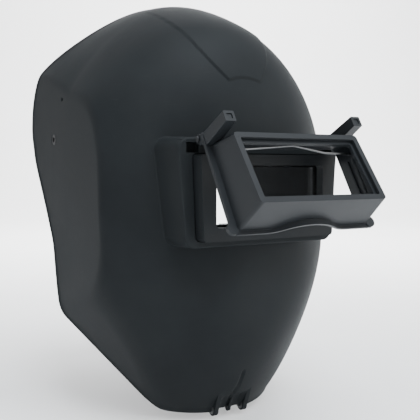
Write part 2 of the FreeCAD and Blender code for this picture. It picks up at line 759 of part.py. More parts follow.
def make_lens_spring():
    """Bent wire across the box that presses a filter plate forward."""
    points = [V(x, SPRING_Y, z) for x, z in SPRING_XZ]
    pieces = []
    for first, second in zip(points[:-1], points[1:]):
        step = second - first
        pieces.append(Part.makeCylinder(SPRING_WIRE_R, step.Length, first, step))
    for bend in points[1:-1]:
        pieces.append(Part.makeSphere(SPRING_WIRE_R, bend))
    return lifted(fused(pieces[0], pieces[1:]))


# ---- headgear -------------------------------------------------------------------
def band_frame(shape):
    copy = shape.copy()
    copy.rotate(V(0, 0, 0), AXIS_X, -BAND_TILT)
    copy.translate(V(0, BAND_SHIFT[0], BAND_SHIFT[1]))
    return copy


def band_loop(offset):
    """Closed path of the band in its own level plane, grown by offset."""
    half = BAND_HALF_W + offset
    front = BAND_FRONT_Y - offset
    back = BAND_BACK_Y + offset
    radius = BAND_CORNER_R + offset
    side_y = BAND_BACK_Y - BAND_CORNER_R
    corner_x = half - radius
    diag = radius * math.sqrt(0.5)
    ellipse = Part.Ellipse(V(0, front, 0), V(half, 0, 0), V(0, 0, 0))
    edges = [Part.ArcOfEllipse(ellipse, -math.pi / 2, math.pi / 2).toShape()]
    for sign in (1, -1):
        side = V(sign * half, side_y, 0)
        middle = V(sign * (corner_x + diag), side_y + diag, 0)
        end = V(sign * corner_x, back, 0)
        edges.append(Part.makeLine(V(sign * half, 0, 0), side))
        edges.append(Part.Arc(side, middle, end).toShape())
    edges.append(Part.makeLine(V(corner_x, back, 0), V(-corner_x, back, 0)))
    return Part.Wire(Part.__sortEdges__(edges))


def band_ring(inner_offset, outer_offset, z0, z1):
    outer = Part.Face(band_loop(outer_offset))
    ring = outer.cut(Part.Face(band_loop(inner_offset)))
    ring.translate(V(0, 0, z0))
    return ring.extrude(V(0, 0, z1 - z0))


def sleeve(sign):
    """Closed guide at one end of the band for its rack."""
    x0, x1 = span(sign, *SLEEVE_X)
    y0 = BAND_BACK_Y + BAND_T - 0.1
    z0, z1 = span(sign, 3.0, BAND_H / 2)
    body = box(x0, x1, y0, RACK_Y + RACK_T + 2.0, z0, z1)
    c0, c1 = span(sign, TEETH_NEAR - 0.4, RACK_FAR + 0.3)
    hollow = span(sign, SLEEVE_X[0] - 1, SLEEVE_X[1] - 1.5)
    return body.cut(box(*hollow, RACK_Y - 0.3, RACK_Y + RACK_T + 0.3, c0, c1))


def strap_rivet_places():
    places = []
    for sign in (1, -1):
        for dy in (-STRAP_RIVET_DY, STRAP_RIVET_DY):
            places.append((sign, CROWN_Y + dy, STRAP_RIVET_Z))
    return places


def side_drill(sign, y, z):
    """Rivet hole through one side of the headgear."""
    x0, x1 = span(sign, BAND_HALF_W - 10, BAND_HALF_W + 15)
    return rod((x0, y, z), AXIS_X, RIVET_R + 0.1, x1 - x0)


def make_headband():
    ring = band_ring(0.0, BAND_T, -BAND_H / 2, BAND_H / 2)
    gap = box(-SLEEVE_X[0], SLEEVE_X[0], BAND_BACK_Y - 32, BAND_BACK_Y + 18, -BAND_H, BAND_H)
    ring = fused(ring.cut(gap), [sleeve(1), sleeve(-1)])
    holes = [side_drill(*place) for place in strap_rivet_places()]
    ring = band_frame(ring.cut(holes))
    arm_holes = []
    for sign in (1, -1):
        for y, z in ARM_RIVET_YZ:
            arm_holes.append(side_drill(sign, y, z))
    return ring.cut(arm_holes)


def make_brow_pad():
    pad = band_ring(-0.4 - PAD_T, -0.4, -BROW_PAD_H / 2, BROW_PAD_H / 2)
    keep = box(-BROW_PAD_HALF, BROW_PAD_HALF, BAND_FRONT_Y - 20, -58, -BAND_H, BAND_H)
    return band_frame(pad.common(keep))


def make_nape_plate():
    y1 = BAND_BACK_Y - 0.1
    half_w, half_h = NAPE_HALF
    return band_frame(box(-half_w, half_w, y1 - NAPE_T, y1, -half_h, half_h))


def make_nape_pad():
    y1 = BAND_BACK_Y - 0.1 - NAPE_T - 0.3
    w, h = NAPE_PAD_HALF
    wire = rounded_outline([(-w, h), (w, h), (w, -h), (-w, -h)], [6] * 4, y1 - NAPE_PAD_T)
    return band_frame(prism(wire, NAPE_PAD_T))


def strap_arch(grow):
    """Face under one strap surface: straight feet, a half ellipse above them."""
    y = CROWN_Y - CROWN_W / 2
    half = CROWN_HALF + grow
    height = CROWN_HEIGHT + grow - CROWN_SPRING_Z
    centre = V(0, y, CROWN_SPRING_Z)
    if half > height:
        ellipse = Part.Ellipse(centre + V(half, 0, 0), centre + V(0, 0, height), centre)
        arc = Part.ArcOfEllipse(ellipse, 0, math.pi).toShape()
    else:
        ellipse = Part.Ellipse(centre + V(0, 0, height), centre + V(half, 0, 0), centre)
        arc = Part.ArcOfEllipse(ellipse, -math.pi / 2, math.pi / 2).toShape()
    a, b = arc.Vertexes[0].Point, arc.Vertexes[1].Point
    drop = V(0, 0, CROWN_FOOT_Z - CROWN_SPRING_Z)
    tail = Part.makePolygon([a, a + drop, b + drop, b])
    return Part.Face(Part.Wire(Part.__sortEdges__([arc] + tail.Edges)))


def strap_half(sign, inner):
    """One crown strap, from its foot to a little past the middle."""
    arch = strap_arch(inner + STRAP_T).cut(strap_arch(inner))
    band = arch.extrude(V(0, CROWN_W, 0))
    x0, x1 = span(sign, -STRAP_OVERLAP, 200)
    return band.common(box(x0, x1, 0, 60, -20, 150))


def crown_holes():
    holes = []
    for i in range(-3, 4):
        for dy in (-STRAP_HOLE_DY, STRAP_HOLE_DY):
            holes.append(rod((i * STRAP_HOLE_PITCH, CROWN_Y + dy, CROWN_HEIGHT - 20),
                             AXIS_Z, STRAP_HOLE_R, 60))
    return holes


def strap_offset(sign):
    """Inner face of a strap, outside the band; the right one lies on the left."""
    return 0.2 if sign > 0 else 0.4 + STRAP_T


def make_crown_strap(sign):
    strap = strap_half(sign, strap_offset(sign))
    drills = [side_drill(*place) for place in strap_rivet_places()]
    return band_frame(strap.cut(crown_holes() + drills))


def make_strap_rivets():
    rivets = []
    for sign, y, z in strap_rivet_places():
        near = BAND_HALF_W - 0.1
        far = CROWN_HALF + strap_offset(sign) + STRAP_T + 0.1
        start = span(sign, near - 1.0, far + 1.0)[0]
        shank = rod((start, y, z), AXIS_X, RIVET_R, far - near + 2.0)
        outer = span(sign, far, far + 1.4)[0]
        inner = span(sign, near - 1.0, near)[0]
        heads = [rod((outer, y, z), AXIS_X, RIVET_HEAD_R + 0.4, 1.4)]
        heads.append(rod((inner, y, z), AXIS_X, RIVET_HEAD_R, 1.0))
        rivets.append(fused(shank, heads))
    return band_frame(Part.makeCompound(rivets))


def make_crown_pegs():
    top = CROWN_HEIGHT + strap_offset(-1) + STRAP_T
    base = CROWN_HEIGHT - 1.6
    bar = box(-3.4, 3.4, CROWN_Y - 7.5, CROWN_Y + 7.5, top + 0.1, top + 1.9)
    pegs = []
    for dy in (-STRAP_HOLE_DY, STRAP_HOLE_DY):
        pegs.append(rod((0, CROWN_Y + dy, base), AXIS_Z, RIVET_R, top + 0.3 - base))
        pegs.append(rod((0, CROWN_Y + dy, base), AXIS_Z, 2.2, 1.4))
    return band_frame(fused(bar, pegs))


def make_pivot_arm(sign):
    inner_x = BAND_HALF_W + BAND_T + 0.1
    disc_x = ARM_X[0] + 1
    plan = [
        (inner_x, ARM_END_Y), (inner_x + ARM_PLATE_T, ARM_END_Y),
        (inner_x + 6.5, ARM_STEP_Y), (disc_x, ARM_STEP_Y), (disc_x, -ARM_STEP_Y),
        (inner_x + 5.0, -ARM_STEP_Y), (inner_x, -4.0),
    ]
    low, high = ARM_Z
    points = [V(x, y, low) for x, y in plan]
    face = Part.Face(Part.makePolygon(points + [points[0]]))
    body = face.extrude(V(0, 0, high - low))
    disc = rod((ARM_X[0], 0, 0), AXIS_X, ARM_DISC_R, ARM_X[1] - ARM_X[0])
    body = fused(body, [disc])
    pocket = box(inner_x + 6.0, ARM_X[0] - 1.4, -6.2, 6.2, low - 6, high + 6)
    cuts = [pocket, rod((90, 0, 0), AXIS_X, STUD_SHANK_R, 40)]
    for y, z in ARM_RIVET_YZ:
        cuts.append(side_drill(1, y, z))
        cuts.append(rod((inner_x + ARM_PLATE_T, y, z), AXIS_X, RIVET_HEAD_R + 0.3, 10))
    body = body.cut(cuts)
    return body if sign > 0 else mirrored(body)


def make_arm_rivets():
    rivets = []
    near = BAND_HALF_W - 0.1
    far = BAND_HALF_W + BAND_T + ARM_PLATE_T + 0.2
    for y, z in ARM_RIVET_YZ:
        shank = rod((near - 1.0, y, z), AXIS_X, RIVET_R, far - near + 2.0)
        heads = [rod((near - 1.0, y, z), AXIS_X, RIVET_HEAD_R, 1.0)]
        heads.append(rod((far, y, z), AXIS_X, RIVET_HEAD_R, 1.2))
        rivets.append(fused(shank, heads))
    return both_sides(Part.makeCompound(rivets))


def make_pivot_stud(sign):
    """Snap stud: head in the arm, shank through its disc, end in the shell hole."""
    head_x = ARM_X[0] - 1.5 - STUD_HEAD_T
    journal_x = ARM_X[1] + 0.05
    head = rod((head_x, 0, 0), AXIS_X, STUD_HEAD_R, STUD_HEAD_T)
    shank = rod((head_x, 0, 0), AXIS_X, STUD_SHANK_R - 0.03, ARM_X[1] - head_x + 0.2)
    journal = rod((journal_x, 0, 0), AXIS_X, STUD_R, STUD_FACE_X - journal_x)
    body = fused(head, [shank, journal])
    body = body.cut(rod((ARM_X[1] + 1.4, 0, 0), AXIS_X, STUD_HOLLOW_R, 10))
    return body if sign > 0 else mirrored(body)


def make_friction_washers():
    x0 = ARM_X[1] + 0.08
    ring = rod((x0, 0, 0), AXIS_X, WASHER_R, WASHER_T)
    ring = ring.cut(rod((x0 - 1, 0, 0), AXIS_X, STUD_R + 0.06, 5))
    return both_sides(ring)


def teeth_row(sign, x0, count):
    pitch = math.pi * PINION_MODULE
    teeth = []
    for i in range(count):
        middle = x0 + (i + 0.5) * pitch
        near, far = TEETH_NEAR * sign, (RACK_NEAR + 0.2) * sign
        points = [
            V(middle - 1.0, RACK_Y, far), V(middle - 0.45, RACK_Y, near),
            V(middle + 0.45, RACK_Y, near), V(middle + 1.0, RACK_Y, far),
        ]
        face = Part.Face(Part.makePolygon(points + [points[0]]))
        teeth.append(face.extrude(V(0, RACK_T, 0)))
    return teeth


def make_rack(sign):
    """Toothed band tail; the left one runs above the pinion, the right below."""
    bar = box(*span(sign, *RACK_X), RACK_Y, RACK_Y + RACK_T, *span(sign, RACK_NEAR, RACK_FAR))
    pitch = math.pi * PINION_MODULE
    return band_frame(fused(bar, teeth_row(sign, -4 * pitch, 8)))


def pinion():
    points = []
    step = 2 * math.pi / PINION_TEETH
    for i in range(PINION_TEETH):
        middle = i * step
        for radius, angle in ((5.0, -0.20), (6.75, -0.065), (6.75, 0.065), (5.0, 0.20)):
            turn = middle + angle
            points.append(V(radius * math.cos(turn), RACK_Y, radius * math.sin(turn)))
    face = Part.Face(Part.makePolygon(points + [points[0]]))
    return face.extrude(V(0, RACK_T, 0))


def make_pinion():
    wheel = pinion()
    shaft = rod((0, RACK_Y + RACK_T, 0), AXIS_Y, KNOB_SHAFT_R, KNOB_Y - RACK_Y - RACK_T + 4)
    y0, y1 = RATCHET_Y
    ratchet = rod((0, y0, 0), AXIS_Y, RATCHET_R, y1 - y0)
    notches = []
    for i in range(RATCHET_NOTCHES):
        angle = 2 * math.pi * i / RATCHET_NOTCHES
        reach = RATCHET_R + 0.3
        notches.append(rod((reach * math.cos(angle), y0 - 0.2, reach * math.sin(angle)),
                           AXIS_Y, 0.6, y1 - y0 + 0.4))
    return band_frame(fused(wheel, [shaft, ratchet.cut(notches)]))


def make_knob():
    disc = rod((0, KNOB_Y, 0), AXIS_Y, KNOB_R, KNOB_T)
    flutes = []
    for i in range(KNOB_LOBES):
        angle = 2 * math.pi * i / KNOB_LOBES
        reach = KNOB_R + KNOB_FLUTE_R / 2
        flutes.append(rod((reach * math.cos(angle), KNOB_Y - 1, reach * math.sin(angle)),
                          AXIS_Y, KNOB_FLUTE_R, KNOB_T + 2))
    floor_r, mouth_r, depth = KNOB_DISH
    dish = Part.makeCone(floor_r, mouth_r, depth, V(0, KNOB_Y + KNOB_T - depth, 0), AXIS_Y)
    socket = rod((0, KNOB_Y - 1, 0), AXIS_Y, KNOB_SHAFT_R + 0.02, 5.1)
    return band_frame(disc.cut(flutes + [dish, socket]))


def housing_outline(y, depth):
    w, h = RATCHET_HALF_W, RATCHET_HALF_H
    return prism(rounded_outline([(-w, h), (w, h), (w, -h), (-w, -h)], [7] * 4, y), depth)


def make_ratchet_housing():
    body = housing_outline(BAND_BACK_Y, COVER_Y - 0.05 - BAND_BACK_Y)
    reach = RATCHET_HALF_W + 7
    channels = []
    for sign in (1, -1):
        z_range = span(sign, TEETH_NEAR - 0.4, RACK_FAR + 0.3)
        channels.append(box(-reach, reach, RACK_Y - 0.3, COVER_Y + 1, *z_range))
    well = rod((0, RACK_Y - 0.3, 0), AXIS_Y, 7.3, 6)
    screws = [rod((x, RACK_Y - 1.6, 0), AXIS_Y, COVER_SCREW_R + 0.05, 10)
              for x in HOUSING_SCREW_X]
    return band_frame(body.cut(channels + [well] + screws))


def make_ratchet_cover():
    body = housing_outline(COVER_Y, KNOB_Y - 0.5 - COVER_Y)
    chamber = rod((0, COVER_Y - 1, 0), AXIS_Y, CHAMBER_R, 4.6)
    shaft = rod((0, COVER_Y - 1, 0), AXIS_Y, KNOB_SHAFT_R + 0.06, 20)
    cuts = [chamber, shaft]
    for x in HOUSING_SCREW_X:
        cuts.append(rod((x, COVER_Y - 1, 0), AXIS_Y, COVER_SCREW_R + 0.25, 20))
        cuts.append(rod((x, COVER_SCREW_SEAT_Y, 0), AXIS_Y, COVER_SCREW_HEAD_R + 0.2, 20))
    return band_frame(body.cut(cuts))


def make_cover_screws():
    start = RACK_Y - 1.5
    screws = []
    for x in HOUSING_SCREW_X:
        shank = rod((x, start, 0), AXIS_Y, COVER_SCREW_R, COVER_SCREW_SEAT_Y - start)
        head = rod((x, COVER_SCREW_SEAT_Y, 0), AXIS_Y, COVER_SCREW_HEAD_R, 1.3)
        screws.append(fused(shank, [head]))
    return band_frame(Part.makeCompound(screws))


def make_pawl_spring():
    """Ring with two fingers that click over the pinion's notches."""
    y = COVER_Y + 1.3
    inner, outer = PAWL_RING_R
    ring = rod((0, y, 0), AXIS_Y, outer, PAWL_T).cut(rod((0, y - 1, 0), AXIS_Y, inner, 4))
    fingers = [box(*span(sign, PAWL_TIP_X, inner + 0.4), y, y + PAWL_T, -0.5, 0.5)
               for sign in (1, -1)]
    return band_frame(fused(ring, fingers))


# ---- every node -------------------------------------------------------------------
NODES = {
    "shell": make_shell,
    "window_frame": make_window_frame,
    "cover_lens": make_cover_lens,
    "lens_gasket": make_gasket,
    "lens_retainer": make_lens_retainer,
    "frame_screws": make_frame_screws,
    "hinge_pin_left": lambda: make_hinge_pin(1),
    "hinge_pin_right": lambda: make_hinge_pin(-1),
    "chin_eyelets": make_eyelets,
    "flip_housing": make_flip_housing,
    "filter_frame": make_filter_frame,
    "lens_spring": make_lens_spring,
    "headband": make_headband,
    "brow_pad": make_brow_pad,
    "nape_plate": make_nape_plate,
    "nape_pad": make_nape_pad,
    "crown_strap_left": lambda: make_crown_strap(1),
    "crown_strap_right": lambda: make_crown_strap(-1),
    "strap_rivets": make_strap_rivets,
    "crown_peg": make_crown_pegs,
    "pivot_arm_left": lambda: make_pivot_arm(1),
    "pivot_arm_right": lambda: make_pivot_arm(-1),
    "arm_rivets": make_arm_rivets,
    "pivot_stud_left": lambda: make_pivot_stud(1),
    "pivot_stud_right": lambda: make_pivot_stud(-1),
    "friction_washers": make_friction_washers,
    "rack_left": lambda: make_rack(1),
    "rack_right": lambda: make_rack(-1),
    "pinion": make_pinion,
    "knob": make_knob,
    "ratchet_housing": make_ratchet_housing,
    "ratchet_cover": make_ratchet_cover,
    "cover_screws": make_cover_screws,
    "pawl_spring": make_pawl_spring,
}


if __name__ == "__main__":
    os.makedirs("parts", exist_ok=True)
    for name, make in NODES.items():
        make().exportStep("parts/" + name + ".step")
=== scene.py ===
import bmesh
import bpy
import math
import numpy as np
from mathutils import Matrix, Vector


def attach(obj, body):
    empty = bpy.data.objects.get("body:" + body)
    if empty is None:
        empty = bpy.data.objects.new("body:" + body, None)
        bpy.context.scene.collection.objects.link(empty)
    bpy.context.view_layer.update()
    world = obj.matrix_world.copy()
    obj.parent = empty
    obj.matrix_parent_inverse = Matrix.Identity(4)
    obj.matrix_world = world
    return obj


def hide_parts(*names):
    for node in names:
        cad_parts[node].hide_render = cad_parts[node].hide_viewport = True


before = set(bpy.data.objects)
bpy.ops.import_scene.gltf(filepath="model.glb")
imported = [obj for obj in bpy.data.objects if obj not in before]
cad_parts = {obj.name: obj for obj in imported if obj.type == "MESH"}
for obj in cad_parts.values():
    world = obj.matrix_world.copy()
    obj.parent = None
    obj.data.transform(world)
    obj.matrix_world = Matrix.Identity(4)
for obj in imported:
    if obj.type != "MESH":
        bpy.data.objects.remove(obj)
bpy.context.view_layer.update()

MM = 0.001

# ---- sizes of the shell and what it carries, in millimetres -----------------
CENTRE_Y, CENTRE_Z = -37.0, -40.0
OUTLINE = [
    (-20, 130), (-69, 114.5), (-107, 91.5), (-135.5, 41.5),
    (-145.5, -21.5), (-147, -82), (-150, -150), (-122, -219),
    (-80, -268), (-10, -280), (60, -240), (95, -160),
    (112, -60), (125, 40), (90, 128), (30, 131),
]
HALF_WIDTH = 150.0
ACROSS_POWER, ACROSS_POWER_BACK = 2.0, 0.1
LEVEL_POWER, LEVEL_POWER_BACK = 1.38, 0.72
SKIN_INSET = 0.8
WALL = 2.6
REAR_EDGE = [
    (150, -6), (118, 2), (68, 28), (52, 40), (34, 49), (11, 52.5), (-20, 44),
    (-58, 22), (-94, 3), (-132, -4), (-150, -9), (-158, -13), (-238.5, -86),
    (-242, -128), (-246, -300),
]
SIDE_NORMAL, SIDE_OUT, SIDE_CREASE = (1.0, -0.07, 0.0), 122.0, 3.6
JAW_NORMAL, JAW_OUT, JAW_CREASE = (0.865, -0.222, -0.450), 177.5, 6.0
EDGE_LIP, EDGE_LIP_WIDTH, EDGE_BEAD_R = 0.7, 3.2, 1.45
PIVOT_HOLE_R = 4.75
SMALL_HOLE_R, SMALL_HOLE_Y, SMALL_HOLE_Z = 1.7, -20, 35

BROW_HALF, BROW_NARROWING = 42.5, 28.0
BROW_TOP, BROW_HEIGHT, BROW_STEP = 104.0, 59.0, 1.15
BROW_ARCH_Z, BROW_ARCH_RISE, BROW_ARCH_HALF = 49.0, 2.7, 15.0
BROW_FADE_END, BROW_FADE = 128.0, 34.0
KEEL_TOP, KEEL_FADE, KEEL_DEPTH, KEEL_HALF = -197.0, 6, 2.3, 1.5
KEEL_BEND, KEEL_BEND_TOP, KEEL_BEND_HEIGHT = 2.4, -203, 22
HOLLOW_TOP, HOLLOW_FADE, HOLLOW_DEPTH = -221.0, 9, 2.6
HOLLOW_HALF, HOLLOW_EDGE = 13.0, 4

PLINTH_FRONT = 160.0
PLINTH_TOP, PLINTH_LOW, PLINTH_CORNER = 79.0, 72.0, 9.0
PLINTH_Z = (-88.0, -2.0)
PLINTH_ROUND = 1.5
PLINTH_FILLET = 1.6
PLINTH_SPREAD = 2.0 / 60.0
WINDOW_TOP, WINDOW_LOW, WINDOW_Z, WINDOW_CORNER = 66.0, 63.0, (-82.5, -14.5), 3.5
POCKET_X, POCKET_Y, POCKET_Z = (60.2, 71.5), (-164, -151.5), (-13.8, -5.8)
BOSS_X, BOSS_Y, BOSS_Z = (57.6, 74.5), (-158.2, -149.2), (-16.5, -3.5)
HINGE_Y, HINGE_Z, HINGE_LUG_R = -168.5, -4.0, 3.95
HINGE_LUG_X, HINGE_LUG_ROOT_Y = (54.0, 59.4), -156

CHIN_LUG_X, CHIN_LUG_HALF_T, CHIN_LUG_R, CHIN_BORE_R = 15, 2, 5.5, 2.6
CHIN_Y, CHIN_Z = -106.5, -238.2
CHIN_RIB_HALF_T, CHIN_RIB_Z, CHIN_RIB_R = 1.3, -239.4, 2.6

BAND_TILT = math.radians(9.0)
BAND_SHIFT_Y, BAND_SHIFT_Z = 8.0, 6.0
BAND_A, BAND_B = 80, 98

# ---- view: turned about Z and raised a little ------------------------------------
VIEW_TURN, VIEW_RISE = math.radians(-31.0), math.radians(3.5)
AWAY = Vector((-math.sin(VIEW_TURN), math.cos(VIEW_TURN), 0))
RIGHT = Vector((math.cos(VIEW_TURN), math.sin(VIEW_TURN), 0))
UP = Vector((0, 0, 1))


# ---- node helpers ------------------------------------------------------------
class Graph:
    def __init__(self, name):
        self.mat = bpy.data.materials.new(name)
        self.mat.use_nodes = True
        self.tree = self.mat.node_tree
        self.tree.nodes.clear()
        self.out = self.tree.nodes.new("ShaderNodeOutputMaterial")
        self.bsdf = self.tree.nodes.new("ShaderNodeBsdfPrincipled")
        self.link(self.bsdf.outputs[0], self.out.inputs[0])
        self.coord = self.tree.nodes.new("ShaderNodeTexCoord").outputs["Object"]

    def link(self, a, b):
        self.tree.links.new(a, b)

    def noise(self, scale, detail=4.0, rough=0.55, stretch=None, distortion=0.0):
        source = self.coord
        if stretch:
            mapping = self.tree.nodes.new("ShaderNodeMapping")
            mapping.inputs["Scale"].default_value = stretch
            self.link(source, mapping.inputs["Vector"])
            source = mapping.outputs[0]
        node = self.tree.nodes.new("ShaderNodeTexNoise")
        node.inputs["Scale"].default_value = scale
        node.inputs["Detail"].default_value = detail
        node.inputs["Roughness"].default_value = rough
        node.inputs["Distortion"].default_value = distortion
        self.link(source, node.inputs["Vector"])
        return node.outputs["Fac"]

    def ramp(self, fac, stops):
        node = self.tree.nodes.new("ShaderNodeValToRGB")
        elements = node.color_ramp.elements
        while len(elements) < len(stops):
            elements.new(0.5)
        for element, (place, colour) in zip(elements, stops):
            element.position = place
            element.color = (*colour, 1)
        self.link(fac, node.inputs[0])
        return node.outputs[0]

    def grey(self, fac, low, high, a=0.0, b=1.0):
        node = self.tree.nodes.new("ShaderNodeMapRange")
        node.inputs["From Min"].default_value = low
        node.inputs["From Max"].default_value = high
        node.inputs["To Min"].default_value = a
        node.inputs["To Max"].default_value = b
        self.link(fac, node.inputs["Value"])
        return node.outputs[0]

    def mix(self, fac, a, colour):
        node = self.tree.nodes.new("ShaderNodeMix")
        node.data_type = "RGBA"
        self.link(fac, node.inputs[0])
        self.link(a, node.inputs[6])
        node.inputs[7].default_value = (*colour, 1)
        return node.outputs[2]

    def times(self, a, b):
        node = self.tree.nodes.new("ShaderNodeMath")
        node.operation = "MULTIPLY"
        self.link(a, node.inputs[0])
        node.inputs[1].default_value = b
        return node.outputs[0]

    def bump(self, height, strength, distance, below=None):
        node = self.tree.nodes.new("ShaderNodeBump")
        node.inputs["Strength"].default_value = strength
        node.inputs["Distance"].default_value = distance
        self.link(height, node.inputs["Height"])
        if below is not None:
            self.link(below, node.inputs["Normal"])
        return node.outputs[0]


def moulded(name, dark, light, scuff, rough=(0.42, 0.6), grain=1500.0,
            bump=0.35, mottle=22.0, specular=0.16, scuffs=0.35):
    """Moulded plastic: mottled colour, fine grain, dust and faint scuffs."""
    g = Graph(name)
    cloud = g.noise(mottle, 6.0, 0.62)
    colour = g.ramp(cloud, [(0.3, dark), (0.7, light)])
    fine = g.noise(grain, 3.0, 0.7)
    colour = g.mix(g.times(g.grey(fine, 0.35, 0.75), 0.25), colour, light)
    streak = g.noise(60.0, 5.0, 0.6, (1.0, 1.0, 14.0), 0.4)
    colour = g.mix(g.grey(streak, 0.66, 0.82, 0.0, scuffs), colour, scuff)
    dust = g.noise(420.0, 6.0, 0.75)
    colour = g.mix(g.grey(dust, 0.7, 0.78, 0.0, scuffs * 0.8), colour, scuff)
    g.link(colour, g.bsdf.inputs["Base Color"])
    g.link(g.grey(cloud, 0.3, 0.7, rough[0], rough[1]), g.bsdf.inputs["Roughness"])
    g.bsdf.inputs["Specular IOR Level"].default_value = specular
    wave = g.bump(g.noise(55.0, 2.0), 0.12, 0.0012)
    g.link(g.bump(fine, bump, 0.00018, wave), g.bsdf.inputs["Normal"])
    return g.mat


def metal(name, dark, light, rough=(0.22, 0.42)):
    g = Graph(name)
    brushed = g.noise(900.0, 4.0, 0.6, (1.0, 14.0, 1.0))
    colour = g.ramp(brushed, [(0.3, dark), (0.7, light)])
    tarnish = g.noise(180.0, 5.0, 0.65)
    colour = g.mix(g.grey(tarnish, 0.58, 0.8, 0.0, 0.6), colour, tuple(c * 0.45 for c in dark))
    g.link(colour, g.bsdf.inputs["Base Color"])
    g.bsdf.inputs["Metallic"].default_value = 1.0
    g.link(g.grey(brushed, 0.3, 0.7, rough[0], rough[1]), g.bsdf.inputs["Roughness"])
    g.link(g.bump(brushed, 0.25, 0.0001), g.bsdf.inputs["Normal"])
    return g.mat


def clear_lens():
    g = Graph("clear_lens_look")
    smear = g.noise(30.0, 6.0, 0.6, (1.0, 1.0, 3.0))
    g.link(g.ramp(smear, [(0.3, (0.93, 0.96, 0.96)), (0.75, (0.98, 0.99, 0.99))]),
           g.bsdf.inputs["Base Color"])
    g.link(g.grey(smear, 0.5, 0.8, 0.02, 0.09), g.bsdf.inputs["Roughness"])
    g.bsdf.inputs["Transmission Weight"].default_value = 1.0
    g.bsdf.inputs["IOR"].default_value = 1.03
    g.link(g.bump(g.noise(700.0), 0.02, 0.00005), g.bsdf.inputs["Normal"])
    return g.mat


def cloth(name, dark, light):
    """Looped terry cloth, with painted shade between the loops."""
    g = Graph(name)
    loops = g.tree.nodes.new("ShaderNodeTexVoronoi")
    loops.inputs["Scale"].default_value = 900.0
    g.link(g.coord, loops.inputs["Vector"])
    patch = g.noise(45.0, 5.0)
    colour = g.ramp(patch, [(0.3, dark), (0.7, light)])
    # Darker towards the edges of each loop cell: painted shade between the loops.
    colour = g.mix(g.grey(loops.outputs["Distance"], 0.2, 0.7, 0.0, 0.6), colour,
                   tuple(c * 0.4 for c in dark))
    g.link(colour, g.bsdf.inputs["Base Color"])
    g.link(g.grey(patch, 0.3, 0.7, 0.85, 0.98), g.bsdf.inputs["Roughness"])
    g.bsdf.inputs["Sheen Weight"].default_value = 0.4
    fuzz = g.bump(g.noise(2200.0, 2.0), 0.4, 0.0003)
    g.link(g.bump(loops.outputs["Distance"], 0.7, 0.0008, fuzz), g.bsdf.inputs["Normal"])
    return g.mat


SHELL = moulded("shell_look", (0.0095, 0.0112, 0.0125), (0.0145, 0.0166, 0.0178),
                (0.05, 0.052, 0.053), rough=(0.48, 0.6), mottle=14.0, specular=0.055, scuffs=0.25)
# Inner face of the shell: rougher and less glossy than the outside, and coloured darker than the
# shell plastic, which is painted shade inside the shell.
SHADED_INSIDE = moulded("inside_shaded_look", (0.008, 0.0088, 0.0096), (0.0125, 0.0135, 0.0145),
                 (0.02, 0.02, 0.02), rough=(0.7, 0.84), mottle=14.0, specular=0.04)
# Window frame: the shell plastic coloured darker, which is painted shade from the visor above it.
SHADED_FRAME = moulded("frame_shaded_look", (0.0085, 0.0098, 0.011), (0.013, 0.015, 0.0165),
                (0.05, 0.052, 0.053), rough=(0.4, 0.55), specular=0.1)
FLIP = moulded("flip_look", (0.0115, 0.0132, 0.0152), (0.015, 0.0172, 0.0194),
               (0.1, 0.105, 0.11), rough=(0.36, 0.48), mottle=9.0, specular=0.18,
               scuffs=0.1)
GEAR = moulded("gear_look", (0.012, 0.012, 0.013), (0.02, 0.02, 0.021),
               (0.07, 0.07, 0.07), rough=(0.35, 0.5), mottle=60.0)
STRAP = moulded("strap_look", (0.02, 0.02, 0.022), (0.032, 0.032, 0.034),
                (0.09, 0.09, 0.09), rough=(0.4, 0.55), mottle=60.0)
SEAL = moulded("seal_look", (0.008, 0.008, 0.008), (0.015, 0.015, 0.015),
               (0.05, 0.05, 0.05), rough=(0.7, 0.9), bump=0.6)
STEEL = metal("steel_look", (0.3, 0.3, 0.31), (0.48, 0.48, 0.49))
DARK_STEEL = metal("dark_steel_look", (0.035, 0.037, 0.04), (0.08, 0.084, 0.09), (0.3, 0.45))
WIRE = metal("wire_look", (0.1, 0.105, 0.11), (0.2, 0.205, 0.21), (0.28, 0.4))
LENS = clear_lens()
TERRY = cloth("terry_look", (0.02, 0.02, 0.023), (0.045, 0.045, 0.05))


# ---- the shell's surface as a radial function ----------------------------------
def periodic_spline(points, count):
    """Smooth closed curve through the points, sampled evenly by chord."""
    p = np.array(points, float)
    n = len(p)
    step = np.hypot(*(np.roll(p, -1, 0) - p).T)
    a = np.zeros((n, n))
    b = np.zeros((n, 2))
    for i in range(n):
        before, after = step[i - 1], step[i]
        a[i, i - 1] = 1 / before
        a[i, i] = 2 * (1 / before + 1 / after)
        a[i, (i + 1) % n] = 1 / after
        b[i] = 3 * ((p[(i + 1) % n] - p[i]) / after ** 2 + (p[i] - p[i - 1]) / before ** 2)
    slope = np.linalg.solve(a, b)
    knots = np.concatenate([[0], np.cumsum(step)])
    s = np.linspace(0, knots[-1], count, endpoint=False)
    i = np.searchsorted(knots, s, side="right") - 1
    h = step[i][:, None]
    t = ((s - knots[i]) / step[i])[:, None]
    j = (i + 1) % n
    return ((2 * t ** 3 - 3 * t ** 2 + 1) * p[i] + (t ** 3 - 2 * t ** 2 + t) * h * slope[i]
            + (3 * t ** 2 - 2 * t ** 3) * p[j] + (t ** 3 - t ** 2) * h * slope[j])


CURVE = periodic_spline(OUTLINE, 3000)
CURVE_ANGLE = np.arctan2(CURVE[:, 1] - CENTRE_Z, CURVE[:, 0] - CENTRE_Y)
CURVE_REACH = np.hypot(CURVE[:, 1] - CENTRE_Z, CURVE[:, 0] - CENTRE_Y)
ORDER = np.argsort(CURVE_ANGLE)


def outline_reach(angle):
    return np.interp(angle, CURVE_ANGLE[ORDER], CURVE_REACH[ORDER], period=2 * np.pi)


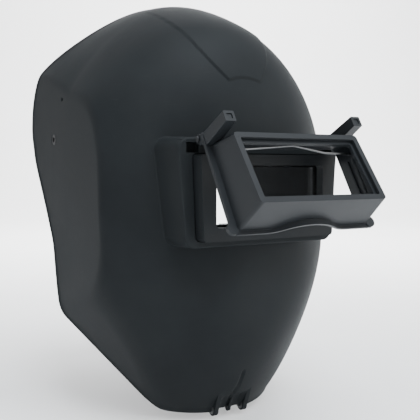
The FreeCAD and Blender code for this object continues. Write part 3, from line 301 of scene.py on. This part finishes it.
def back_weight(angle):
    """1 towards the back, fading to 0 towards the crown and the underside."""
    degrees = np.degrees(angle)
    t = np.clip(np.minimum((90 - degrees) / 40, (degrees + 95) / 35), 0, 1)
    return t * t * (3 - 2 * t)


def smooth_min(a, b, k):
    """Lesser of two reaches, blended over k mm where they cross."""
    h = np.clip(k - np.abs(a - b), 0, None) / k
    return np.minimum(a, b) - h * h * k / 4


def dome_reach(d, inset):
    """Distance along each direction to the dome."""
    across = np.abs(d[..., 0])
    level = np.hypot(d[..., 1], d[..., 2])
    angle = np.arctan2(d[..., 2], d[..., 1])
    weight = back_weight(angle)
    q = ACROSS_POWER + ACROSS_POWER_BACK * weight
    p = LEVEL_POWER + LEVEL_POWER_BACK * weight
    reach = outline_reach(angle) - inset
    half = HALF_WIDTH - inset
    low = np.zeros_like(across)
    high = np.minimum(half * 0.9999 / np.maximum(across, 1e-9), 500.0)
    for _ in range(36):
        middle = (low + high) / 2
        scale = (1 - (np.minimum(middle * across, half * 0.9999) / half) ** q) ** (1 / p)
        inside = middle * level < reach * scale
        low = np.where(inside, middle, low)
        high = np.where(inside, high, middle)
    return (low + high) / 2


def plane_reach(d, normal, distance):
    """Distance along each direction to a plane; far away where it faces off."""
    n = np.array(normal, float)
    length = np.linalg.norm(n)
    room = distance - (n[1] * CENTRE_Y + n[2] * CENTRE_Z)
    facing = d @ n
    return np.where(facing > 1e-4 * length, room / np.maximum(facing, 1e-4 * length), 900.0)


def skin_reach(d):
    """Dome cut by the flat side panels and jaw panels."""
    r = dome_reach(d, SKIN_INSET)
    panels = [(SIDE_NORMAL, SIDE_OUT, SIDE_CREASE), (JAW_NORMAL, JAW_OUT, JAW_CREASE)]
    for (nx, ny, nz), out, crease in panels:
        for sign in (1, -1):
            r = smooth_min(r, plane_reach(d, (sign * nx, ny, nz), out - SKIN_INSET), crease)
    return r


def to_point(d, r):
    p = d * r[..., None]
    p[..., 1] += CENTRE_Y
    p[..., 2] += CENTRE_Z
    return p


REAR = np.array(REAR_EDGE[::-1], float)


def rear_y(z):
    return np.interp(z, REAR[:, 0], REAR[:, 1])


def smoothed(values, span):
    kernel = np.hanning(span)
    padded = np.pad(values, span // 2, mode="edge")
    return np.convolve(padded, kernel / kernel.sum(), mode="valid")


def smoothed_rear():
    """Rear edge rounded between its points, kept crisp at the jaw corner."""
    corner_z, blend_height = -156, 40
    z = np.linspace(-246, 150, 800)
    y = rear_y(z)
    soft, slight = smoothed(y, 61), smoothed(y, 15)
    blend = np.clip((z - corner_z) / blend_height, 0, 1)
    return z, slight + (soft - slight) * blend


REAR_Z, REAR_Y = smoothed_rear()


def directions(alpha, beta):
    return np.stack([np.sin(beta) * np.cos(alpha), -np.cos(beta), np.sin(beta) * np.sin(alpha)], -1)


def brow_height(p):
    """Raised forehead panel: 1 on it, 0 off it."""
    x, z = np.abs(p[..., 0]), p[..., 2]
    half = BROW_HALF - BROW_NARROWING * np.clip((BROW_TOP - z) / BROW_HEIGHT, 0, 1) ** 2
    side = np.clip(half - x, 0, 1)
    arch = BROW_ARCH_Z - BROW_ARCH_RISE * np.clip(x / BROW_ARCH_HALF, 0, 1.2) ** 2
    low = np.clip(z - arch, 0, 1)
    fade = np.clip((BROW_FADE_END - z) / BROW_FADE, 0, 1)
    front = p[..., 1] < -30
    return side * low * fade * front


def chin_depth(p):
    """Keel line above the chin and the hollow between its lugs, in mm."""
    x, z = p[..., 0], p[..., 2]
    bend = x + KEEL_BEND * np.clip((KEEL_BEND_TOP - z) / KEEL_BEND_HEIGHT, 0, 1) ** 2
    line = np.clip(1 - np.abs(bend) / KEEL_HALF, 0, 1) * np.clip((KEEL_TOP - z) / KEEL_FADE, 0, 1)
    hollow = np.clip((HOLLOW_HALF - np.abs(x)) / HOLLOW_EDGE, 0, 1)
    hollow = hollow * np.clip((HOLLOW_TOP - z) / HOLLOW_FADE, 0, 1)
    return KEEL_DEPTH * line + HOLLOW_DEPTH * hollow * hollow * (3 - 2 * hollow)


def last_angles(alpha):
    """Angle from the front at which each spoke reaches the rear edge."""
    coarse = np.linspace(0.02, 2.75, 330)
    a, b = np.meshgrid(alpha, coarse, indexing="ij")
    d = directions(a, b)
    p = to_point(d, skin_reach(d))
    first = np.argmax(p[..., 1] > np.interp(p[..., 2], REAR_Z, REAR_Y), axis=1)
    low, high = coarse[np.maximum(first - 1, 0)], coarse[first]
    for _ in range(24):
        middle = (low + high) / 2
        d = directions(alpha, middle)
        q = to_point(d, skin_reach(d))
        inside = q[..., 1] <= np.interp(q[..., 2], REAR_Z, REAR_Y)
        low = np.where(inside, middle, low)
        high = np.where(inside, high, middle)
    return low


def shell_grid(rings=270, spokes=640):
    """Points of the outer skin, from round the window to the rear edge."""
    start, mean_reach = 0.30, 130.0
    alpha = np.linspace(0, 2 * np.pi, spokes, endpoint=False)
    span = last_angles(alpha)[:, None] - start
    t = np.linspace(0.0, 1.0, rings)[None, :]
    d = directions(np.repeat(alpha[:, None], rings, 1), start + span * t)
    r = skin_reach(d)
    p = to_point(d, r)
    lip = np.clip(1 - (1 - t) * span * mean_reach / EDGE_LIP_WIDTH, 0, 1)
    lift = EDGE_LIP * lip * lip * (3 - 2 * lip) + BROW_STEP * brow_height(p) - chin_depth(p)
    return to_point(d, r + lift)


def mesh_object(name, verts, faces):
    mesh = bpy.data.meshes.new(name)
    mesh.from_pydata(verts, [], faces)
    mesh.update()
    mesh.shade_smooth()
    obj = bpy.data.objects.new(name, mesh)
    bpy.context.scene.collection.objects.link(obj)
    return obj


def add(obj, kind, **values):
    m = obj.modifiers.new(kind.lower(), kind)
    for key, value in values.items():
        setattr(m, key, value)
    return m


def apply_modifiers(obj):
    bpy.context.view_layer.update()
    evaluated = obj.evaluated_get(bpy.context.evaluated_depsgraph_get())
    mesh = bpy.data.meshes.new_from_object(evaluated)
    obj.modifiers.clear()
    obj.data = mesh


def cylinder_between(bm, centre, axis, radius, depth, segments=48):
    turn = Vector((0, 0, 1)).rotation_difference(Vector(axis)).to_matrix().to_4x4()
    place = Matrix.Translation(Vector(centre)) @ turn
    bmesh.ops.create_cone(bm, cap_ends=True, segments=segments, radius1=radius,
                          radius2=radius, depth=depth, matrix=place)


def box_in(bm, x_range, y_range, z_range):
    ranges = [sorted(pair) for pair in (x_range, y_range, z_range)]
    size = [high - low for low, high in ranges]
    centre = [(high + low) / 2 for low, high in ranges]
    place = Matrix.Translation(Vector(centre)) @ Matrix.Diagonal((*size, 1))
    bmesh.ops.create_cube(bm, size=1.0, matrix=place)


def mirrored(x_range, sign):
    return tuple(sign * x for x in x_range)


def bm_object(name, build):
    """Object from a function that fills a bmesh in millimetres."""
    bm = bmesh.new()
    build(bm)
    bmesh.ops.scale(bm, vec=(MM, MM, MM), verts=bm.verts)
    mesh = bpy.data.meshes.new(name)
    bm.to_mesh(mesh)
    bm.free()
    obj = bpy.data.objects.new(name, mesh)
    bpy.context.scene.collection.objects.link(obj)
    return obj


def rounded_frame(top, low, z_range, radius, arc=10, run=14):
    """Points round a trapezoid with rounded corners, with their outward normals."""
    corners = [(top, z_range[1]), (-top, z_range[1]), (-low, z_range[0]), (low, z_range[0])]
    corners = [np.array(corner, float) for corner in corners]
    points, normals = [], []
    for i, here in enumerate(corners):
        before = corners[i - 1] - here
        after = corners[(i + 1) % 4] - here
        before /= np.linalg.norm(before)
        after /= np.linalg.norm(after)
        half = math.acos(before @ after) / 2
        bisector = (before + after) / np.linalg.norm(before + after)
        middle = here + bisector * radius / math.sin(half)
        first = here + before * radius / math.tan(half) - middle
        last = here + after * radius / math.tan(half) - middle
        start = math.atan2(first[1], first[0])
        sweep = math.atan2(last[1], last[0]) - start
        sweep = (sweep + math.pi) % (2 * math.pi) - math.pi
        for k in range(arc + 1):
            angle = start + sweep * k / arc
            normal = np.array([math.cos(angle), math.sin(angle)])
            points.append(middle + normal * radius)
            normals.append(normal)
    full_points, full_normals = [], []
    for i, (point, normal) in enumerate(zip(points, normals)):
        ends_arc = i % (arc + 1) == arc
        following = points[(i + 1) % len(points)]
        for t in np.arange(run if ends_arc else 1) / run:
            full_points.append(point * (1 - t) + following * t)
            full_normals.append(normal)
    return np.array(full_points), np.array(full_normals)


def over_skin(points, y, inset):
    """Signed height of points at depth y above the skin, in mm."""
    place = np.stack([points[:, 0], y - CENTRE_Y, points[:, 1] - CENTRE_Z], -1)
    reach = np.linalg.norm(place, axis=1)
    return reach - (skin_reach(place / reach[:, None]) - inset)


def landing(points, start, inset):
    """Depth at which lines running inward from start meet the skin."""
    low = np.full(len(points), float(start))
    high = np.full(len(points), -60.0)
    for _ in range(30):
        middle = (low + high) / 2
        outside = over_skin(points, middle, inset) > 0
        low = np.where(outside, middle, low)
        high = np.where(outside, high, middle)
    return low


def ring(points, y):
    y = np.broadcast_to(np.asarray(y, float), (len(points),))
    return np.stack([points[:, 0], y, points[:, 1]], -1)


def plinth_outline(y, inset=0.0):
    grow = PLINTH_SPREAD * (y + PLINTH_FRONT) - inset
    z_range = (PLINTH_Z[0] - grow, PLINTH_Z[1] + grow)
    return rounded_frame(PLINTH_TOP + grow, PLINTH_LOW + grow, z_range, PLINTH_CORNER + grow)


def wall_points(y, inset):
    """Outline points whose spread follows their own depth, with their normals."""
    base, normals = plinth_outline(-PLINTH_FRONT, inset)
    spread = PLINTH_SPREAD * (y + PLINTH_FRONT)
    return base + normals * np.asarray(spread)[..., None], normals


def front_rings(front, inset):
    """From the window opening over the front face and round its outer edge."""
    low_z, high_z = WINDOW_Z
    hole, _ = rounded_frame(WINDOW_TOP, WINDOW_LOW, WINDOW_Z, WINDOW_CORNER)
    wider, _ = rounded_frame(WINDOW_TOP + 0.5, WINDOW_LOW + 0.5, (low_z - 0.5, high_z + 0.5),
                             WINDOW_CORNER + 0.5)
    base, normals = plinth_outline(front, inset)
    rings = [ring(hole, front + 3.0), ring(hole, front + 0.5), ring(wider, front)]
    border = base - normals * PLINTH_ROUND
    for step in range(1, 4):
        rings.append(ring(wider + (border - wider) * step / 3, front))
    for step in range(1, 7):
        angle = math.pi / 2 * step / 6
        back = PLINTH_ROUND * (1 - math.sin(angle))
        rings.append(ring(base - normals * back, front + PLINTH_ROUND * (1 - math.cos(angle))))
    return rings, base + normals * 2.0


def wall_rings(start, inset, guess):
    """Outer wall down to the skin, and the fillet that sinks into it."""
    meet = landing(guess, start, 0.0)
    for _ in range(3):
        points, normals = wall_points(meet, inset)
        meet = landing(points, start, 0.0)
    stop = np.maximum(meet - PLINTH_FILLET, start + 0.2)
    rings = []
    for t in (0.25, 0.5, 0.75, 1.0):
        y = start + (stop - start) * t
        points, normals = wall_points(y, inset)
        rings.append(ring(points, y))
    foot = points + normals * PLINTH_FILLET
    corner, _ = wall_points(meet, inset)
    a = ring(points, stop)
    b = ring(corner, meet)
    c = ring(foot, landing(foot, start - 8, 0.0))
    for t in (0.2, 0.4, 0.6, 0.8, 1.0):
        rings.append(a * (1 - t) ** 2 + b * 2 * t * (1 - t) + c * t * t)
    deep = foot + normals * 0.6
    rings.append(ring(deep, landing(deep, start - 8, 1.3)))
    return rings


def inner_rings(front, start, inset):
    """Inner wall, from inside the shell's thickness back to the front."""
    inner, normals = plinth_outline(front, inset + WALL)
    meet = landing(inner, start, 1.4)
    return [ring(inner, meet), ring(inner, np.minimum(front + 3.4, meet - 0.2)),
            ring(inner - normals * 0.5, front + 3.0)]


def make_plinth():
    """Closed loft of rings that carries the window frame."""
    front = -PLINTH_FRONT + 0.2
    inset = SKIN_INSET * 0.5
    start = front + PLINTH_ROUND
    rings, guess = front_rings(front, inset)
    rings += wall_rings(start, inset, guess)
    rings += inner_rings(front, start, inset)
    count, across = len(rings), len(rings[0])
    index = np.arange(count * across).reshape(count, across)
    following = np.roll(index, -1, axis=1)
    over = np.roll(index, -1, axis=0)
    over_following = np.roll(following, -1, axis=0)
    faces = np.stack([index, following, over_following, over], -1).reshape(-1, 4)
    obj = mesh_object("window_plinth", (np.concatenate(rings) * MM).tolist(), faces.tolist())
    outward(obj)
    return obj


def outward(obj):
    bm = bmesh.new()
    bm.from_mesh(obj.data)
    bmesh.ops.recalc_face_normals(bm, faces=bm.faces)
    bm.to_mesh(obj.data)
    bm.free()
    obj.data.shade_smooth()


def side_holes(bm):
    for sign in (1, -1):
        cylinder_between(bm, (sign * 121, 0, 0), (1, 0, 0), PIVOT_HOLE_R,
                         depth=20, segments=64)
        cylinder_between(bm, (sign * 120, SMALL_HOLE_Y, SMALL_HOLE_Z), (1, 0, 0),
                         SMALL_HOLE_R, depth=20, segments=32)


def pocket_boxes(bm):
    for sign in (1, -1):
        box_in(bm, mirrored(POCKET_X, sign), POCKET_Y, POCKET_Z)


def boss_boxes(bm):
    for sign in (1, -1):
        box_in(bm, mirrored(BOSS_X, sign), BOSS_Y, BOSS_Z)


def subtract(obj, *builders):
    """Cut the shape that each builder makes out of an object."""
    for build in builders:
        tool = bm_object("cutting_tool", build)
        outward(tool)
        cut = add(obj, "BOOLEAN", operation="DIFFERENCE", object=tool)
        cut.solver = "MANIFOLD"
        apply_modifiers(obj)
        bpy.data.objects.remove(tool)


def extrude(bm, outline, along):
    """Prism from a flat outline."""
    face = bm.faces.new([bm.verts.new(place) for place in outline])
    moved = bmesh.ops.extrude_face_region(bm, geom=[face])
    verts = [g for g in moved["geom"] if isinstance(g, bmesh.types.BMVert)]
    bmesh.ops.translate(bm, vec=along, verts=verts)
    bmesh.ops.recalc_face_normals(bm, faces=bm.faces)


def plinth_core(bm):
    """Block that opens the dome's wall behind the plinth."""
    inner, _ = plinth_outline(-PLINTH_FRONT, SKIN_INSET * 0.5 + 1.2)
    extrude(bm, [(x, -185.0, z) for x, z in inner], (0, 100.0, 0))


def make_shell():
    """Thin skin with its side holes, open behind the plinth; also its rear edge."""
    p = shell_grid()
    spokes, rings = p.shape[:2]
    index = np.arange(spokes * rings).reshape(spokes, rings)
    nxt = np.roll(index, -1, axis=0)
    faces = np.stack([index[:, :-1], index[:, 1:], nxt[:, 1:], nxt[:, :-1]], -1).reshape(-1, 4)
    obj = mesh_object("shell_skin", (p.reshape(-1, 3) * MM).tolist(), faces.tolist())
    obj.data.materials.append(SHELL)
    # The inner face takes the inside material, whose darker colour is painted shade.
    obj.data.materials.append(SHADED_INSIDE)
    add(obj, "SOLIDIFY", thickness=WALL * MM, offset=-1.0, use_even_offset=True,
        use_rim=True, material_offset=1)
    apply_modifiers(obj)
    subtract(obj, side_holes, plinth_core)
    obj.data.shade_smooth()
    add(obj, "WEIGHTED_NORMAL", keep_sharp=True, weight=60)
    return obj, p[:, -1]


def make_front():
    """Plinth and the closed pockets behind its top corners."""
    plinth = make_plinth()
    subtract(plinth, pocket_boxes)
    soften(plinth, 0.4, 2, 40)
    finish_piece(plinth, "shell_body", SHELL)
    bosses = bm_object("pocket_bosses", boss_boxes)
    outward(bosses)
    subtract(bosses, pocket_boxes)
    soften(bosses, 0.3, 2, 40)
    finish_piece(bosses, "shell_body", SHELL)


def make_edge_bead(rim):
    """Rounded bead all along the rear edge."""
    towards = np.array([0.0, CENTRE_Y, CENTRE_Z]) - rim
    towards /= np.linalg.norm(towards, axis=1)[:, None]
    places = rim + towards * 1.4
    curve = bpy.data.curves.new("shell_edge", "CURVE")
    curve.dimensions = "3D"
    curve.bevel_depth = EDGE_BEAD_R * MM
    curve.bevel_resolution = 4
    curve.use_fill_caps = True
    line = curve.splines.new("POLY")
    line.points.add(len(places) - 1)
    for point, place in zip(line.points, places):
        point.co = (*(float(c) * MM for c in place), 1)
    line.use_cyclic_u = True
    obj = bpy.data.objects.new("shell_edge", curve)
    bpy.context.scene.collection.objects.link(obj)
    curve.materials.append(SHELL)
    finish_piece(obj, "shell_body", SHELL)


def finish_piece(obj, body, material=None, nodes=()):
    if material:
        obj.data.materials.clear()
        obj.data.materials.append(material)
    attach(obj, body)
    if nodes:
        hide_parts(*nodes)
    return obj


def soften(obj, width, segments=3, angle=32):
    add(obj, "BEVEL", width=width * MM, segments=segments, limit_method="ANGLE",
        angle_limit=math.radians(angle), harden_normals=False)
    obj.data.shade_smooth()
    add(obj, "WEIGHTED_NORMAL", keep_sharp=True)
    return obj


def underside(x, y, inset):
    """Height of the skin's lower side, inset mm inside it."""
    low, high = -246.0, -190.0
    for _ in range(30):
        middle = (low + high) / 2
        if over_skin(np.array([[x, middle]]), np.array([y]), inset)[0] > 0:
            low = middle
        else:
            high = middle
    return high


def tab(bm, x_range, z, radius, front, rear, wrap):
    """Plate across X: a disc whose root is sunk in the skin from front to rear."""
    x0, x1 = x_range
    points = []
    for angle in np.linspace(0, wrap * math.pi, 40):
        points.append((CHIN_Y - radius * math.cos(angle), z - radius * math.sin(angle)))
    for depth in np.linspace(rear, front, 9):
        points.append((depth, underside(x0, depth, 1.6)))
    extrude(bm, [(x0, y, z) for y, z in points], (x1 - x0, 0, 0))


def chin_lugs(bm):
    for sign in (1, -1):
        x = sign * CHIN_LUG_X
        tab(bm, (x - CHIN_LUG_HALF_T, x + CHIN_LUG_HALF_T), CHIN_Z, CHIN_LUG_R,
            front=-120, rear=-110, wrap=1.32)


def chin_bores(bm):
    cylinder_between(bm, (0, CHIN_Y, CHIN_Z), (1, 0, 0), CHIN_BORE_R, 60, 40)


def chin_rib(bm):
    tab(bm, (-CHIN_RIB_HALF_T, CHIN_RIB_HALF_T), CHIN_RIB_Z, CHIN_RIB_R,
        front=-113, rear=-108, wrap=1.2)


def make_chin():
    lugs = bm_object("chin_lugs", chin_lugs)
    subtract(lugs, chin_bores)
    for obj in (lugs, bm_object("chin_rib", chin_rib)):
        soften(obj, 0.5)
        finish_piece(obj, "shell_body", SHELL)


def hinge_lugs(bm):
    near, far = HINGE_LUG_X
    for sign in (1, -1):
        cylinder_between(bm, (sign * (near + far) / 2, HINGE_Y, HINGE_Z), (1, 0, 0),
                         HINGE_LUG_R, far - near, 40)
        box_in(bm, mirrored(HINGE_LUG_X, sign), (HINGE_Y, HINGE_LUG_ROOT_Y),
               (HINGE_Z - HINGE_LUG_R, HINGE_Z + HINGE_LUG_R))


def make_hinge_lugs():
    obj = soften(bm_object("hinge_lugs", hinge_lugs), 0.5)
    finish_piece(obj, "shell_body", SHELL)


shell, rear_rim = make_shell()
finish_piece(shell, "shell_body", None, ("shell",))
make_front()
make_edge_bead(rear_rim)
make_chin()
make_hinge_lugs()


# ---- CAD pieces that keep their own shape ----------------------------------------
LOOKS = {
    "window_frame": (SHADED_FRAME, 0.8), "cover_lens": (LENS, 0.2), "lens_gasket": (SEAL, 0.3),
    "lens_retainer": (FLIP, 0.4), "frame_screws": (STEEL, 0.2),
    "hinge_pin_left": (DARK_STEEL, 0.4), "hinge_pin_right": (DARK_STEEL, 0.4),
    "chin_eyelets": (WIRE, 0.15), "flip_housing": (FLIP, 0.55), "filter_frame": (FLIP, 0.4),
    "lens_spring": (WIRE, 0.0), "headband": (GEAR, 0.5), "nape_plate": (GEAR, 0.5),
    "crown_strap_left": (STRAP, 0.35), "crown_strap_right": (STRAP, 0.35),
    "strap_rivets": (STEEL, 0.3), "crown_peg": (GEAR, 0.4), "pivot_arm_left": (GEAR, 0.6),
    "pivot_arm_right": (GEAR, 0.6), "arm_rivets": (STEEL, 0.3),
    "pivot_stud_left": (GEAR, 0.8), "pivot_stud_right": (GEAR, 0.8),
    "friction_washers": (SEAL, 0.1), "rack_left": (STRAP, 0.2), "rack_right": (STRAP, 0.2),
    "pinion": (GEAR, 0.15), "knob": (GEAR, 0.8), "ratchet_housing": (GEAR, 0.6),
    "ratchet_cover": (GEAR, 0.7), "cover_screws": (STEEL, 0.2), "pawl_spring": (STEEL, 0.1),
}


def dress(node, material, width):
    """Give a CAD node its material and rounded edges of a width in mm."""
    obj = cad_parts[node]
    obj.data.materials.clear()
    obj.data.materials.append(material)
    add(obj, "WELD", merge_threshold=0.00002)
    if width:
        add(obj, "DECIMATE", decimate_type="DISSOLVE", angle_limit=math.radians(1.0))
        add(obj, "TRIANGULATE", ngon_method="CLIP")
        add(obj, "BEVEL", width=width * MM, segments=3, limit_method="ANGLE",
            angle_limit=math.radians(35), use_clamp_overlap=True)
    add(obj, "WEIGHTED_NORMAL", keep_sharp=True, weight=80)


for node_name, (look, bevel_width) in LOOKS.items():
    dress(node_name, look, bevel_width)


# ---- pads ------------------------------------------------------------------------
def band_place(x, y, z):
    """From the headband's level frame to the helmet's frame, in mm."""
    c, s = math.cos(BAND_TILT), math.sin(BAND_TILT)
    return x, y * c + z * s + BAND_SHIFT_Y, -y * s + z * c + BAND_SHIFT_Z


def swept_pad(name, path, normals, thick, tall, around=28, squareness=3.0):
    """Closed pad: a rounded section swept along a level path, ends closed in."""
    def side(value, size):
        return math.copysign(abs(value) ** (2 / squareness), value) * size / 2

    count = len(path)
    verts, faces = [], []
    for i, ((px, py), (nx, ny)) in enumerate(zip(path, normals)):
        along = abs(2 * i / (count - 1) - 1)
        close = max(max(1 - along ** 10, 0.0) ** 0.5, 0.12)
        for j in range(around):
            a = 2 * math.pi * j / around
            u = side(math.cos(a), thick) * close
            v = side(math.sin(a), tall) * close
            verts.append([c * MM for c in band_place(px + nx * u, py + ny * u, v)])
    for i in range(count - 1):
        here, after = i * around, (i + 1) * around
        for j in range(around):
            k = (j + 1) % around
            faces.append((here + j, here + k, after + k, after + j))
    faces.append(tuple(range(around))[::-1])
    faces.append(tuple((count - 1) * around + j for j in range(around)))
    obj = mesh_object(name, verts, faces)
    outward(obj)
    return obj


def swell(obj, pressure, cap):
    """Cloth simulation that blows a cover up, with each point's move capped."""
    cloth_part = add(obj, "CLOTH")
    cover = cloth_part.settings
    cover.use_pressure = True
    cover.uniform_pressure_force = pressure
    cover.quality = 6
    cover.mass = 0.12
    cover.tension_stiffness = cover.compression_stiffness = 22
    cover.shear_stiffness = 12
    cover.bending_stiffness = 1.5
    cover.vertex_group_mass = "held"
    cover.effector_weights.gravity = 0.0
    cloth_part.collision_settings.use_collision = False
    cloth_part.point_cache.frame_start, cloth_part.point_cache.frame_end = 1, 20
    before = np.array([v.co for v in obj.data.vertices])
    for step in range(1, 21):
        bpy.context.scene.frame_set(step)
    apply_modifiers(obj)
    bpy.context.scene.frame_set(1)
    move = np.array([v.co for v in obj.data.vertices]) - before
    length = np.linalg.norm(move, axis=1)
    move *= (np.minimum(length, cap) / np.maximum(length, 1e-9))[:, None]
    for v, place in zip(obj.data.vertices, before + move):
        v.co = place


def puff(obj, is_held, pressure=4.0, voxel=0.0042, cap=0.0022):
    """Let a pad swell as a sewn cover over foam, with some places held."""
    add(obj, "REMESH", mode="VOXEL", voxel_size=voxel)
    apply_modifiers(obj)
    group = obj.vertex_groups.new(name="held")
    held = [v.index for v in obj.data.vertices if is_held(v.co / MM)]
    group.add(held, 1.0, "REPLACE")
    swell(obj, pressure, cap)
    add(obj, "SUBSURF", levels=1, render_levels=1)
    apply_modifiers(obj)
    obj.data.shade_smooth()


def make_brow_pad():
    """Sweatband lining the front of the headband."""
    inset = 3.4
    a, b = BAND_A - inset, BAND_B - inset
    path, normals = [], []
    for t in np.linspace(-0.70, 0.70, 60):
        path.append((a * math.sin(t), -b * math.cos(t)))
        nx, ny = math.sin(t) / a, -math.cos(t) / b
        length = math.hypot(nx, ny)
        normals.append((nx / length, ny / length))
    pad = swept_pad("brow_sweatband", path, normals, thick=5.4, tall=24.0)

    def against_band(place):
        return (place.x / BAND_A) ** 2 + ((place.y - BAND_SHIFT_Y) / BAND_B) ** 2 > 0.975
    puff(pad, against_band)
    finish_piece(pad, "headgear", TERRY, ("brow_pad",))


def make_nape_pad():
    """Flat cushion on the nape plate."""
    half, depth = 36, 86.4
    path = [(x, depth) for x in np.linspace(-half, half, 40)]
    pad = swept_pad("nape_cushion", path, [(0, 1)] * len(path), thick=5.6, tall=23.0)

    def against_plate(place):
        return place.y > 97.0
    puff(pad, against_plate)
    finish_piece(pad, "headgear", TERRY, ("nape_pad",))


make_brow_pad()
make_nape_pad()


# ---- stage, lights and camera -------------------------------------------------------
def make_stage():
    """Floor that curves up into a backdrop square to the view."""
    floor_z, bend_y, bend_r, top_z, half = -0.2475, 2.2, 1.2, 5.0, 5
    profile = [(-3.0, floor_z), (bend_y, floor_z)]
    for i in range(1, 17):
        a = math.pi / 2 * i / 16
        profile.append((bend_y + bend_r * math.sin(a), floor_z + bend_r * (1 - math.cos(a))))
    profile.append((bend_y + bend_r, top_z))
    verts = []
    for y, z in profile:
        verts += [(-half, y, z), (half, y, z)]
    faces = [(2 * i, 2 * i + 1, 2 * i + 3, 2 * i + 2) for i in range(len(profile) - 1)]
    floor = mesh_object("floor", verts, faces)
    g = Graph("floor_look")
    g.link(g.ramp(g.noise(3.0, 3.0), [(0.3, (0.93, 0.93, 0.93)), (0.7, (0.96, 0.96, 0.96))]),
           g.bsdf.inputs["Base Color"])
    g.bsdf.inputs["Roughness"].default_value = 0.9
    floor.data.materials.append(g.mat)
    floor.matrix_world = Matrix.Rotation(VIEW_TURN, 4, "Z")


def area(name, place, target, size, power, colour=(1, 1, 1)):
    light = bpy.data.lights.new(name, "AREA")
    light.energy = power
    light.size = size
    light.color = colour
    obj = bpy.data.objects.new(name, light)
    bpy.context.scene.collection.objects.link(obj)
    obj.location = place
    aim = Vector(target) - Vector(place)
    obj.rotation_euler = aim.to_track_quat("-Z", "Y").to_euler()


def make_lights():
    """White room, softbox overhead, weak warm one on the right, backdrop lit from above."""
    world = bpy.data.worlds.new("studio")
    world.use_nodes = True
    room = world.node_tree.nodes["Background"]
    room.inputs[0].default_value = (0.97, 0.985, 1.0, 1)
    room.inputs[1].default_value = 1.2
    bpy.context.scene.world = world
    middle = Vector((0, -0.08, -0.06))
    area("overhead", UP * 1.4 - AWAY * 0.65 + RIGHT * 0.4, middle, size=1.1, power=44,
         colour=(0.88, 0.94, 1.0))
    area("side", RIGHT * 1.4 - AWAY * 0.5, middle, size=1.0, power=11,
         colour=(1.0, 0.965, 0.91))
    area("backdrop", UP * 1.5 + AWAY * 1.2, AWAY * 2.9 + UP * 0.3, size=1.6, power=170)


def make_camera():
    """Camera at the viewing angle, level with the window, with a longish lens."""
    camera = bpy.data.cameras.new("photo_camera")
    camera.sensor_fit = "HORIZONTAL"
    camera.sensor_width = 36.0
    camera.lens = 60.1714
    camera.clip_start = 0.01
    camera.clip_end = 50
    obj = bpy.data.objects.new("photo_camera", camera)
    bpy.context.scene.collection.objects.link(obj)
    back = UP * math.sin(VIEW_RISE) - AWAY * math.cos(VIEW_RISE)
    up = back.cross(RIGHT)
    window = Vector((0, -0.172, -0.049))
    distance, shift_left, shift_down = 0.560, 0.0496, 0.010
    eye = window + back * distance - RIGHT * shift_left - up * shift_down
    turn = Matrix((RIGHT, up, back)).transposed().to_4x4()
    obj.matrix_world = Matrix.Translation(eye) @ turn
    bpy.context.scene.camera = obj


make_stage()
make_lights()
make_camera()

bpy.context.view_layer.update()
